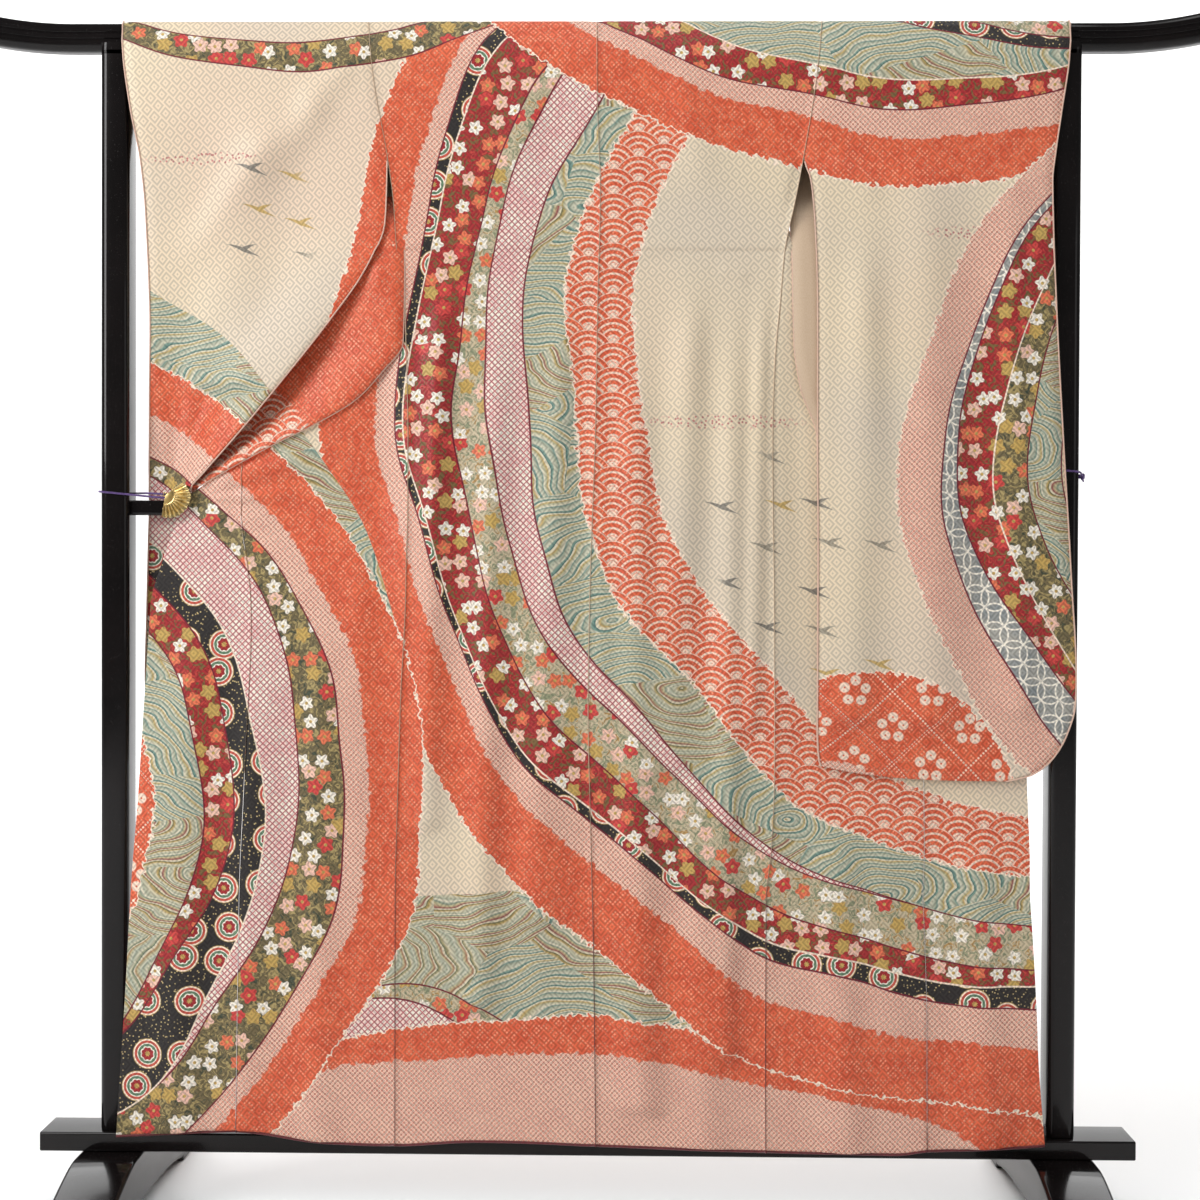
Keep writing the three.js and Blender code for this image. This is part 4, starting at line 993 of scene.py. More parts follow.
    def blossoms(self):
        """Masks and colours of small five-petalled flowers, shared by the floral grounds."""
        if "blossoms" not in self.made:
            net = self.net
            size = 27.0
            away, chance, middle = net.cells(self.flat, size, 0.8)
            local = net.vector("SUBTRACT", net.scaled(self.flat, 1 / size), net.scaled(middle, 1 / size))
            lx, lz, _ = net.parts(local)
            red, green, _ = net.parts(chance)
            angle = net.maths("ARCTAN2", lz, lx)
            petals = net.maths("COSINE", angle * 5 + red * 6.28) * 1.9 + (8.6 + green * 1.8)
            flower = (petals - away).over(0, 0.9)
            colour = net.ramp(green, [(0.0, WHITE), (0.3, srgb(226, 118, 84)), (0.5, srgb(238, 196, 176)),
                                      (0.68, GOLD_LEAF), (0.85, srgb(206, 70, 66))], steps=True)
            heart = away.under(2.3, 0.8)
            veins = (angle * 5 + red * 6.28).triangle(2 * math.pi).under(0.35, 0.3) * away.over(2.6, 1)
            inner = net.mix(heart, net.mix(veins * 0.35, colour, srgb(140, 70, 52)), GOLD_LEAF)
            self.made["blossoms"] = (flower, inner)
        return self.made["blossoms"]

    def leaves(self):
        if "leaves" not in self.made:
            self.made["leaves"] = self.net.noise(self.flat, 10, detail=2, roughness=0.6, distortion=1.2)
        return self.made["leaves"]

    def floral(self, base, leaf, twig):
        net = self.net
        flower, inner = self.blossoms()
        back = net.mix(self.leaves().over(0.56, 0.05), base, leaf)
        back = net.mix(self.leaves().under(0.36, 0.05), back, twig)
        return net.mix(flower, back, inner)

    def red_flowers(self):
        return self.floral(RED, srgb(120, 96, 58), srgb(190, 70, 60))

    def garden(self):
        """Flowers and leaves on an olive and gold ground."""
        return self.floral(OLIVE, srgb(168, 150, 100), srgb(66, 74, 58))

    def mist(self):
        """Flowers on pale gold and grey."""
        return self.floral(srgb(196, 182, 152), srgb(142, 146, 116), srgb(176, 140, 84))

    def night(self):
        """Round medallions and gold flecks on black."""
        net = self.net
        away, _, middle = net.cells(self.flat, 58, 0.45)
        local = net.vector("SUBTRACT", self.flat, middle)
        lx, lz, _ = net.parts(local)
        lobes = net.maths("COSINE", net.maths("ARCTAN2", lz, lx) * 8) * 0.7
        r = (away + lobes * away.under(11, 3)) / 24
        disc = net.ramp(r, [(0.0, GOLD_LEAF), (0.14, RED), (0.36, WHITE), (0.44, srgb(96, 128, 98)),
                            (0.58, WHITE), (0.64, srgb(200, 84, 66)), (0.78, PALE),
                            (0.86, GOLD_LEAF)], steps=True)
        flecks = self.flecks().under(1.0, 0.5) * self.mottle().over(0.46, 0.1)
        back = net.mix(flecks, BLACK_DYE, srgb(204, 182, 128))
        return net.mix(away.under(21.5, 1.2), back, disc)

    def flecks(self):
        if "flecks" not in self.made:
            self.made["flecks"] = self.net.cells(self.flat, 6.5, 1.0)[0]
        return self.made["flecks"]

    def waves(self):
        """Overlapping sweeps of water lines in teal, sage, white and gold."""
        net = self.net
        place = net.vector("MULTIPLY", self.drawn_place(), (0.72, 1.25, 0))
        _, chance, middle = net.cells(place, 120, 0.95)
        offset = net.vector("MULTIPLY", net.vector("SUBTRACT", chance, (0.5, 0.5, 0.5)), (190, 230, 0))
        reach = net.length(net.vector("SUBTRACT", net.vector("SUBTRACT", place, middle), offset))
        red, green, _ = net.parts(chance)
        ripple = net.noise(place, 60, detail=1) * 34
        band = net.maths("FRACT", (reach + ripple) / 17.5 + red * 3)
        cool = net.ramp(band, [
            (0.0, srgb(74, 112, 108)), (0.14, srgb(128, 156, 142)), (0.2, srgb(206, 202, 180)),
            (0.42, srgb(158, 166, 146)), (0.5, srgb(110, 140, 130)), (0.58, srgb(216, 210, 188)),
            (0.76, srgb(172, 168, 132)), (0.84, srgb(188, 160, 96)), (0.92, srgb(214, 206, 180))])
        warm = net.ramp(band, [
            (0.0, srgb(98, 104, 72)), (0.12, srgb(182, 156, 96)), (0.22, srgb(206, 198, 170)),
            (0.42, SAGE), (0.52, srgb(222, 214, 190)), (0.62, srgb(122, 140, 122)),
            (0.72, srgb(196, 184, 144)), (0.86, srgb(140, 62, 66)), (0.93, srgb(212, 202, 176))])
        return net.mix(green.over(0.55, 0.15), cool, warm)

    def linked_rings(self):
        """Overlapping rings in pale lines on grey blue."""
        net = self.net
        cell = net.vector("ABSOLUTE", net.within_cell(net.turned(self.flat, 0, 26)))
        one = abs(net.distance(cell, (-0.5, 0.5, 0)) - 0.707)
        two = abs(net.distance(cell, (0.5, -0.5, 0)) - 0.707)
        line = net.maths("MINIMUM", one, two).under(0.045, 0.03)
        heart = net.length(cell).under(0.1, 0.04)
        base = net.mix(self.mottle().over(0.5, 0.3), srgb(136, 142, 142), srgb(168, 166, 158))
        return net.mix(net.maths("MAXIMUM", line, heart), base, WHITE)

    def disc(self, colour, row):
        """Paints one disc of the layout over what is there, first its outline and then its pattern."""
        cx, cz, radius, pattern, ragged, outline = row
        away = self.net.distance(self.drawn_place(), (cx, cz, 0))
        if ragged:
            away = away - self.teeth()
        if outline:
            colour = self.net.mix(away.under(radius + (1.6 if ragged else 1.1), 0.8), colour, outline)
        return self.net.mix(away.under(radius - 1.1, 0.8), colour, self.get(pattern))

    def birds(self, colour, open_ground):
        """Small flying birds scattered over two patches of the ground."""
        net = self.net
        width, height = 74.0, 58.0
        place = net.vector("MULTIPLY", self.flat, (1 / width, 1 / height, 0))
        chance = net.node("ShaderNodeTexWhiteNoise", {"noise_dimensions": "2D"},
                          {"Vector": net.vector("FLOOR", place)}).outputs["Color"]
        jitter = net.vector("MULTIPLY", net.vector("SUBTRACT", chance, (0.5, 0.5, 0.5)), (0.4, 0.4, 0))
        lx, lz, _ = net.parts(net.vector("SUBTRACT", net.within_cell(place), jitter))
        _, _, pick = net.parts(chance)
        qx = lx * width
        qz = lz * height
        wing = abs(qx + qz * 0.35)
        thick = (1 - wing / 21) * 3.6
        wings = (thick - abs(qz - wing * 0.62 + wing * wing * 0.012)).over(0, 0.9)
        neck = abs(qx * 0.42 + qz - 0.4) + abs(qx - 3) * 0.14
        body = neck.under(2.9, 0.8)
        bird = net.maths("MAXIMUM", wings, body) * pick.over(0.26, 0.05)
        region = net.maths("MAXIMUM", net.distance(self.flat, (300, 900, 0)).under(190, 30) * open_ground,
                           net.distance(self.flat, (-470, 1415, 0)).under(90, 20))
        tint = net.ramp(pick, [(0.0, srgb(150, 142, 126)), (0.55, GOLD_LEAF), (0.75, srgb(120, 116, 108))],
                        steps=True)
        return net.mix(bird * region * 0.9, colour, tint)

    def drifts(self, colour):
        """Thin drifts of small rose dots."""
        net = self.net
        dots = self.flecks().under(1.5, 0.7)
        for cx, cz, half, tall in ((-545, 1502, 90, 10), (560, 1395, 95, 11), (190, 1130, 120, 11)):
            near = net.length(net.vector("MULTIPLY", net.vector("SUBTRACT", self.flat, (cx, cz, 0)),
                                         (1 / half, 1 / tall, 0)))
            colour = net.mix(dots * near.under(0.9, 0.3) * 0.8, colour, srgb(186, 96, 100))
        return colour

    def fret(self):
        """The small key pattern woven in the ground, 1 on its raised lines."""
        net = self.net
        a, b, _ = net.parts(net.turned(self.flat, 45, 15.0))
        across = net.maths("FRACT", a + net.maths("FLOOR", b) * 0.5) - 0.5
        along = net.maths("FRACT", b) - 0.5
        ring = net.maths("MAXIMUM", abs(across + along * 0.12), abs(along))
        return (ring * 15.0).triangle(5.0).over(1.25, 0.9)


# The layout: x, height and radius of each disc, its pattern, whether its edge is ragged, and its outline.
SWEEP = [
    (640, 1170, 1010, "shibori", True, PALE), (655, 1185, 946, "kanoko", True, None),
    (645, 1196, 906, "night", False, WINE_LINE), (618, 1186, 866, "red_flowers", False, PALE),
    (660, 1180, 838, "mist", False, WINE_LINE), (656, 1214, 796, "lattice", False, WINE_LINE),
    (690, 1190, 782, "waves", False, WINE_LINE), (694, 1216, 726, "scales", True, PALE),
    (724, 1236, 662, "ground", True, PALE),
]
COUNTER_SWEEP = [
    (-985, 700, 722, "waves", False, None), (-905, 600, 668, "shibori", True, PALE),
    (-920, 592, 612, "kanoko", True, None), (-893, 580, 556, "garden", False, WINE_LINE),
    (-918, 612, 516, "lattice", False, WINE_LINE), (-936, 560, 486, "night", False, PALE),
    (-902, 590, 404, "red_flowers", False, WINE_LINE), (-944, 566, 402, "waves", False, WINE_LINE),
    (-965, 560, 352, "plums", True, PALE), (-990, 520, 262, "kanoko", True, None),
]
SHOULDER_BAND = [
    (-440, 2320, 705, "garden", False, WINE_LINE), (-452, 2328, 672, "ground", False, WINE_LINE),
    (470, 2330, 868, "shibori", True, PALE), (486, 2336, 812, "kanoko", True, None),
    (462, 2350, 786, "red_flowers", False, WINE_LINE), (500, 2372, 766, "waves", False, PALE),
    (700, 2290, 640, "night", False, WINE_LINE), (742, 2300, 636, "mist", False, WINE_LINE),
]
SKIRT = [
    (-110, -330, 800, "waves", False, None), (-250, 60, 262, "mist", False, WINE_LINE),
    (-290, 40, 262, "lattice", False, WINE_LINE), (20, -1190, 1478, "shibori", True, PALE),
    (-40, -1250, 1486, "kanoko", True, None),
]
SLEEVE_SWEEP = [
    (985, 1065, 552, "kanoko", True, PALE), (1003, 1068, 512, "linked_rings", False, WINE_LINE),
    (966, 1096, 454, "red_flowers", False, WINE_LINE), (1012, 1076, 446, "garden", False, PALE),
    (1018, 1094, 402, "waves", False, WINE_LINE), (1022, 1104, 352, "ground", False, WINE_LINE),
    (392, 545, 232, "plums", True, PALE), (352, 520, 128, "kanoko", True, None),
]


def silk_material(colours):
    """Dyed figured silk: the design, the woven key pattern with a painted sheen on its raised lines, and a
    crepe surface.
    """
    net = Net("dyed_figured_silk")
    place = net.attribute("place")
    weave = net.attribute("weave")
    flat = net.vector("MULTIPLY", place, (1, 1, 0))
    _, _, drawn = net.parts(place)
    _, _, on_sleeve = net.parts(weave)
    dyer = Dyer(net, flat, colours)
    plain = dyer.get("ground")
    colour = plain
    for row in SKIRT + SWEEP:
        colour = dyer.disc(colour, row)
    cx, cz, radius = SWEEP[-1][:3]
    open_ground = net.distance(dyer.drawn_place(), (cx, cz, 0)).under(radius - 25, 10)
    colour = dyer.drifts(dyer.birds(colour, open_ground))
    for row in COUNTER_SWEEP + SHOULDER_BAND:
        colour = dyer.disc(colour, row)
    on_right_sleeve = colour
    for row in SLEEVE_SWEEP:
        on_right_sleeve = dyer.disc(on_right_sleeve, row)
    colour = net.mix(on_sleeve, colour, on_right_sleeve)
    by_clip = net.distance(flat, (-590, 975, 0)).under(245, 5)
    turned_in = net.mix(by_clip, dyer.get("shibori"), dyer.get("scales"))
    colour = net.mix(on_sleeve.under(-0.5, 0.2), net.mix(drawn, plain, colour), turned_in)
    fret = dyer.fret()
    # Painted sheen: the woven key pattern's raised lines are painted lighter than the dye, and the silk between
    # them darker.
    shade = fret * 0.34 + 0.78
    colour = net.vector("MULTIPLY", colour, net.combined(shade, shade * 0.985 + 0.012, shade * 0.96 + 0.035))
    crepe = net.noise(weave, 1.1, detail=1.0, roughness=0.5)
    height = fret * 0.5 + crepe * 0.5 + dyer.knots() * 0.5
    return net.finish(colour, Roughness=0.62 - fret * 0.2, Specular_IOR_Level=0.35, Sheen_Weight=0.25,
                      Sheen_Roughness=0.4, Normal=net.bump(height, 0.25, 0.0006))


def lining_material(colours):
    """Plain silk lining, pale above and wine red towards the hem."""
    net = Net("silk_lining")
    place = net.attribute("place")
    _, height, _ = net.parts(place)
    cloud = net.noise(place, 240, detail=1)
    pale = net.mix(cloud.over(0.5, 0.4) * 0.5, tuple(colours.lining) + (1.0,), srgb(190, 160, 132))
    red = net.mix(cloud.over(0.5, 0.3) * 0.4, tuple(colours.wine) + (1.0,), srgb(104, 30, 36))
    colour = net.mix(height.under(520, 260), pale, red)
    weave = net.attribute("weave")
    rib = net.noise(net.vector("MULTIPLY", weave, (1, 0.3, 1)), 0.9, detail=1)
    colour = net.mix(rib.over(0.5, 0.3) * 0.12, colour, srgb(255, 244, 230))
    return net.finish(colour, Roughness=0.5 + rib * 0.15, Sheen_Weight=0.2, Normal=net.bump(rib, 0.15, 0.0004))


def lip_material(name, colour, streak):
    """A rolled edge of lining, with the fine puckers of its sewing."""
    net = Net(name)
    spot = net.node("ShaderNodeTexCoord").outputs["Object"]
    pucker = net.noise(spot, 0.004, detail=2, dimensions="3D")
    tone = net.mix(pucker.over(0.5, 0.3) * 0.5, tuple(colour) + (1.0,), streak)
    return net.finish(tone, Roughness=0.55, Sheen_Weight=0.2, Normal=net.bump(pucker, 0.5, 0.0008))


def collar_material():
    """Salmon figured silk with a fine diamond weave for the inner neckband."""
    net = Net("neckband_silk")
    weave = net.attribute("weave")
    cell = net.vector("ABSOLUTE", net.within_cell(net.turned(weave, 45, 7.5)))
    a, b, _ = net.parts(cell)
    line = net.maths("MAXIMUM", a, b).over(0.4, 0.06)
    cloud = net.noise(weave, 60, detail=2).over(0.5, 0.4)
    base = net.mix(cloud * 0.5, srgb(226, 160, 136), srgb(214, 140, 116))
    colour = net.mix(line * 0.5, base, srgb(246, 214, 190))
    return net.finish(colour, Roughness=0.6 - line * 0.2, Sheen_Weight=0.25, Normal=net.bump(line, 0.3, 0.0004))


def lacquer_material(finish):
    """Deep black lacquer, faintly uneven, with a haze of fine dust and soft wear."""
    net = Net("deep_lacquer")
    spot = net.node("ShaderNodeTexCoord").outputs["Object"]
    cloud = net.noise(spot, 0.11, detail=3, dimensions="3D")
    dust = net.noise(spot, 0.0016, detail=1, dimensions="3D").over(0.74, 0.05)
    long_way = net.noise(net.vector("MULTIPLY", spot, (1, 1, 0.2)), 0.02, detail=2, dimensions="3D")
    deep = net.mix(cloud.over(0.5, 0.4), tuple(finish.lacquer) + (1.0,), srgb(22, 18, 18))
    colour = net.mix(dust * 0.25, deep, srgb(92, 88, 86))
    rough = finish.gloss + cloud * 0.07 + dust * 0.25
    return net.finish(colour, Roughness=rough, Specular_IOR_Level=0.2, Coat_Weight=0.15, Coat_Roughness=0.05,
                      Normal=net.bump(long_way, 0.04, 0.002))


def gold_material():
    """Antique gilt brass, darker in its hollows and rubbed on its ridges."""
    net = Net("antique_gilt")
    spot = net.node("ShaderNodeTexCoord").outputs["Object"]
    patina = net.noise(spot, 0.006, detail=4, roughness=0.65, dimensions="3D")
    edge = Value(net, net.node("ShaderNodeNewGeometry").outputs["Pointiness"])
    worn = edge.over(0.53, 0.05)
    base = net.mix(patina.over(0.55, 0.2), srgb(190, 152, 82), srgb(104, 80, 42))
    colour = net.mix(worn * 0.85, base, srgb(244, 216, 150))
    return net.finish(colour, Metallic=0.95, Roughness=0.42 - worn * 0.16,
                      Normal=net.bump(patina, 0.25, 0.0005))


def cord_material():
    """Purple braided rayon cord."""
    net = Net("purple_braid")
    spot = net.node("ShaderNodeTexCoord").outputs["Object"]
    fibre = net.noise(spot, 0.0009, detail=2, dimensions="3D")
    colour = net.mix(fibre.over(0.5, 0.3), srgb(48, 20, 84), srgb(104, 66, 146))
    return net.finish(colour, Roughness=0.5, Sheen_Weight=0.4, Normal=net.bump(fibre, 0.5, 0.0004))


def stage_material():
    net = Net("pale_studio")
    spot = net.node("ShaderNodeTexCoord").outputs["Object"]
    cloud = net.noise(spot, 0.8, detail=2, dimensions="3D")
    return net.finish(net.mix(cloud, (0.93, 0.93, 0.93, 1), (0.96, 0.96, 0.96, 1)), Roughness=0.9)


# ------------------------------------------------------------------ sizes and colours to change
class FurisodeCloth(bpy.types.PropertyGroup):
    """Sizes and colours of the garment."""
    silk: FloatProperty(name="Silk thickness", description="Silk and lining together", default=0.0014,
                        min=0.0008, max=0.003, unit="LENGTH", precision=4)
    collar: FloatProperty(name="Collar thickness", description="The folded collar", default=0.002,
                          min=0.001, max=0.003, unit="LENGTH", precision=4)
    neckband: FloatProperty(name="Inner neckband thickness", description="The band inside the collar",
                            default=0.001, min=0.0006, max=0.002, unit="LENGTH", precision=4)
    seam: FloatProperty(name="Seam depth", description="How far a seam draws the cloth in", default=0.0009,
                        min=0.0, max=0.002, unit="LENGTH", precision=4)
    lip: FloatProperty(name="Hem roll", description="Radius of the lining's roll under the hem", default=0.002,
                       min=0.001, max=0.004, unit="LENGTH", precision=4)
    ground: FloatVectorProperty(name="Ground", description="The silk's ivory ground", subtype="COLOR", size=3,
                                default=srgb(229, 212, 184)[:3], min=0, max=1)
    coral: FloatVectorProperty(name="Coral", description="The dyed coral bands", subtype="COLOR", size=3,
                               default=srgb(226, 106, 70)[:3], min=0, max=1)
    pink: FloatVectorProperty(name="Pink", description="The tie-dyed pink", subtype="COLOR", size=3,
                              default=srgb(208, 132, 114)[:3], min=0, max=1)
    lining: FloatVectorProperty(name="Lining", description="The lining's upper part", subtype="COLOR", size=3,
                                default=srgb(204, 178, 148)[:3], min=0, max=1)
    wine: FloatVectorProperty(name="Hem lining", description="The lining at the hem", subtype="COLOR", size=3,
                              default=srgb(86, 24, 30)[:3], min=0, max=1)


class FurisodeStand(bpy.types.PropertyGroup):
    """Finish of the stand and strength of the lights."""
    lacquer: FloatVectorProperty(name="Lacquer", description="The stand's black", subtype="COLOR", size=3,
                                 default=srgb(12, 10, 10)[:3], min=0, max=1)
    gloss: FloatProperty(name="Lacquer roughness", description="0 is a mirror", default=0.1, min=0.0, max=1.0,
                         subtype="FACTOR")
    strand: FloatProperty(name="Cord strand", description="Radius of one strand of the cords", default=0.0009,
                          min=0.0004, max=0.002, unit="LENGTH", precision=4)
    corner_steps: IntProperty(name="Corner steps", description="Facets of a rounded corner", default=8, min=2,
                              max=16)
    key_light: FloatProperty(name="Key light", description="Power of the large lamp", default=98.0, min=0.0,
                             unit="POWER")


def looks():
    """The garment's and stand's materials, each made once."""
    cloth = bpy.context.scene.furisode_cloth
    stand = bpy.context.scene.furisode_stand
    makers = {
        "silk": ("dyed_figured_silk", lambda: silk_material(cloth)),
        "lining": ("silk_lining", lambda: lining_material(cloth)),
        "hem_lip": ("hem_roll", lambda: lip_material("hem_roll", cloth.wine, srgb(128, 44, 48))),
        "sleeve_lip": ("sleeve_roll", lambda: lip_material("sleeve_roll", srgb(214, 176, 156)[:3],
                                                           srgb(232, 204, 186))),
        "neckband": ("neckband_silk", collar_material),
        "lacquer": ("deep_lacquer", lambda: lacquer_material(stand)),
        "gold": ("antique_gilt", gold_material),
        "cord": ("purple_braid", cord_material),
    }
    return lambda name: bpy.data.materials.get(makers[name][0]) or makers[name][1]()


def carried(piece, slot, *nodes):
    """The piece stands on the stand's one body and takes the place of its solids."""
    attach(piece, "root")
    if nodes:
        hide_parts(*nodes)
    return piece


# ------------------------------------------------------------------ the garment's pieces
def seam_depth():
    return bpy.context.scene.furisode_cloth.seam / MM


class FURISODE_OT_bodies(bpy.types.Operator):
    """Backs and fronts, each cut in one length over the shoulder, with the roll of lining at the hem"""
    bl_idname = "furisode.bodies"
    bl_label = "Backs, Fronts and Okumi"

    def execute(self, context):
        cloth = context.scene.furisode_cloth
        look = looks()
        silk, lining, lip = look("silk"), look("lining"), look("hem_lip")
        thickness = cloth.silk / MM
        for half in HALVES:
            depth = seam_depth()
            body, grid, _ = cloth_piece(f"body_{half.name}_silk", body_sheet(half), thickness, -half.side,
                                        (depth, depth), (silk, lining))
            carried(body, "figured_silk", f"body_{half.name}")
            okumi, strip, _ = cloth_piece(f"okumi_{half.name}_silk", okumi_sheet(half), thickness,
                                          -half.side, (depth, 0.2), (silk, lining))
            carried(okumi, "figured_silk", f"okumi_{half.name}")
            edge = np.concatenate([grid[0][::-1], grid[-1], strip[-1]])
            radius = cloth.lip / MM
            edge = edge + (0, 0, -radius * 0.75)
            keep = np.concatenate([[True], np.linalg.norm(np.diff(edge, axis=0), axis=1) > 0.5])
            points, faces = tube_parts(edge[keep], radius, 10)
            roll = link(f"hem_roll_{half.name}", new_mesh("hem_roll", points, faces, (lip,)))
            facing_out(roll.data)
            carried(roll, "hem_lining", f"hem_lining_{half.name}")
        return {"FINISHED"}


def turned_rows(sheet):
    """The first and last row of the left sleeve's far layer that has dyed silk inside."""
    low, high = FACED_LEVELS
    far = range(len(sheet.points) // 2 + 1, len(sheet.points))
    behind = [i for i in far if sheet.points[i][0][1] > -30 and low < sheet.points[i][0][2] < high]
    return behind[0], behind[-1]


class FURISODE_OT_sleeves(bpy.types.Operator):
    """Both long sleeves, the left one gathered in the clip, with the lining's lip at their open edges"""
    bl_idname = "furisode.sleeves"
    bl_label = "Sleeves"

    def execute(self, context):
        cloth = context.scene.furisode_cloth
        look = looks()
        thickness = cloth.silk / MM
        tables = ((-1, LEFT_NEAR, LEFT_FAR), (1, RIGHT_NEAR, RIGHT_FAR))
        for half, (side, near, far) in zip(HALVES, tables):
            sheet = sleeve_sheet(side, near, far, half)
            if side > 0:
                for weave in sheet.weave:
                    weave[:, 2] = RIGHT_SLEEVE
            faced = turned_rows(sheet) if side < 0 else None
            sleeve, grid, normals = cloth_piece(f"sleeve_{half.name}_silk", sheet, thickness, side,
                                                (0.5, 0.3), (look("silk"), look("lining")), faced)
            carried(sleeve, "figured_silk", f"sleeve_{half.name}")
            lips = []
            for column in (-1, 0):
                line = grid[:, column] - normals[:, column] * 0.5
                if column == 0:
                    line = line[line[:, 2] < ARMHOLE_LEVEL - 4]
                    middle = int(np.argmax(np.abs(np.diff(line[:, 1]))))
                    runs = (line[:middle + 1], line[middle + 1:])
                else:
                    runs = (line,)
                for run in runs:
                    steps = np.linalg.norm(np.diff(run, axis=0), axis=1)
                    run = run[np.concatenate([[True], steps > 0.4])]
                    lips.append(tube_parts(run, 1.1, 8))
            points, faces = joined(lips)
            mesh = new_mesh("sleeve_lip", points, faces, (look("sleeve_lip"),))
            lip = link(f"sleeve_lip_{half.name}", mesh)
            facing_out(lip.data)
            carried(lip, "figured_silk")
        return {"FINISHED"}


class FURISODE_OT_collar(bpy.types.Operator):
    """The collar from one front round the neck to the other, and the inner neckband on it"""
    bl_idname = "furisode.collar"
    bl_label = "Collar and Inner Neckband"

    def execute(self, context):
        cloth = context.scene.furisode_cloth
        look = looks()
        sheet = collar_sheet()
        collar, grid, normals = cloth_piece("collar_silk", sheet, cloth.collar / MM, 1, (0.0, 0.0),
                                            (look("silk"), look("silk")))
        carried(collar, "collar_silk", "collar")
        lift = (cloth.collar + cloth.neckband) / 2 / MM + 0.25
        turn = sum(COLLAR_SPLIT[:2])
        outward = np.where(normals[..., 1:2] > 0, normals, -normals)
        raised = grid + outward * lift
        band = Sheet()
        for points, place, weave in zip(raised, sheet.place, sheet.weave):
            if points[0][2] > 1194:
                band.row(points[turn:], place[turn:, 0], place[turn:, 1], 0.0, weave[turn:, 0], weave[turn:, 1])
        neckband, _, _ = cloth_piece("inner_neckband", band, cloth.neckband / MM, 1, (0.0, 0.0),
                                     (look("neckband"), look("neckband")))
        carried(neckband, "collar_silk", "over_collar")
        return {"FINISHED"}


# ------------------------------------------------------------------ the stand's pieces
def rounded_rectangle(width, height, radius, steps):
    """Its outline, anticlockwise, about the middle."""
    points = []
    for k, (sx, sy) in enumerate(((1, 1), (-1, 1), (-1, -1), (1, -1))):
        for i in range(steps + 1):
            angle = math.pi / 2 * (k + i / steps)
            points.append((sx * (width / 2 - radius) + radius * math.cos(angle),
                           sy * (height / 2 - radius) + radius * math.sin(angle)))
    return np.array(points)


def pulled_in(outline, distance):
    """The outline moved inwards, by its corners' directions."""
    before = outline - np.roll(outline, 1, axis=0)
    after = np.roll(outline, -1, axis=0) - outline
    normal = np.stack([before[:, 1], -before[:, 0]], axis=1) / np.linalg.norm(before, axis=1)[:, None]
    following = np.stack([after[:, 1], -after[:, 0]], axis=1) / np.linalg.norm(after, axis=1)[:, None]
    both = normal + following
    both /= np.maximum(np.linalg.norm(both, axis=1), 1e-6)[:, None]
    return outline - both * distance


def bar_parts(outline, start, end, bevel, axis, steps=4):
    """A bar of one section along X or Z, with rounded ends."""
    turns = np.linspace(0, math.pi / 2, steps + 1) if bevel else np.array([math.pi / 2])
    stations = [(start + bevel - math.sin(a) * bevel, bevel * (1 - math.cos(a))) for a in turns[::-1]]
    stations += [(end - bevel + math.sin(a) * bevel, bevel * (1 - math.cos(a))) for a in turns]
    rings = []
    for at, inset in stations:
        section = pulled_in(outline, inset) if inset else outline
        fixed = np.full(len(section), at)
        order = (fixed, section[:, 0], section[:, 1]) if axis == "X" else (section[:, 0], section[:, 1], fixed)
        rings.append(np.stack(order, axis=-1))
    return np.concatenate(rings), ring_faces(len(rings), len(outline))


def solid_piece(name, parts, look, slot, *nodes):
    points, faces = joined(parts)
    piece = link(name, new_mesh(name, points, faces, (look,)))
    facing_out(piece.data)
    sharp = piece.modifiers.new("edges", "EDGE_SPLIT")
    sharp.split_angle = math.radians(38)
    return carried(piece, slot, *nodes)


def top_rail_parts(steps):
    """The rail, grooved along both sides, whose ends sweep up."""
    h = (RAIL["top"] - RAIL["bottom"]) / 2
    d = RAIL["depth"] / 2
    r = RAIL["round"]
    groove = 1.2

    def arc(cy, cz, start, end):
        angles = np.radians(np.linspace(start, end, steps + 1))
        return [(cy + r * math.cos(a), cz + r * math.sin(a)) for a in angles]

    grooved = [(d, 6), (d - groove, 5), (d - groove, 3.6), (d, 2.6),
               (d, -3), (d - groove, -4), (d - groove, -5.4), (d, -6.4)]
    right = arc(d - r, h - r, 90, 0) + grooved + arc(d - r, -h + r, 0, -90)
    profile = np.array(right + [(-y, z) for y, z in reversed(right)])
    length = RAIL["half_length"] - RAIL["straight"]
    stations = [(t, 1.0) for t in np.linspace(0, 0.975, 22)]
    stations += [(0.975 + 0.025 * math.sin(a), 1 - 0.16 * (1 - math.cos(a)))
                 for a in np.linspace(0.3, math.pi / 2, 6)]
    middle = (RAIL["top"] + RAIL["bottom"]) / 2

    def ring(sign, t, scale):
        lean = -sign * 2 * (RAIL["rise"] / length) * t
        y, z = profile[:, 0], profile[:, 1]
        return np.stack([sign * (RAIL["straight"] + length * t) + lean * z * scale, y * scale,
                         middle + RAIL["rise"] * t * t + z * scale], axis=-1)

    rings = [ring(-1, t, s) for t, s in reversed(stations)] + [ring(1, t, s) for t, s in stations]
    return np.concatenate(rings), ring_faces(len(rings), len(profile))


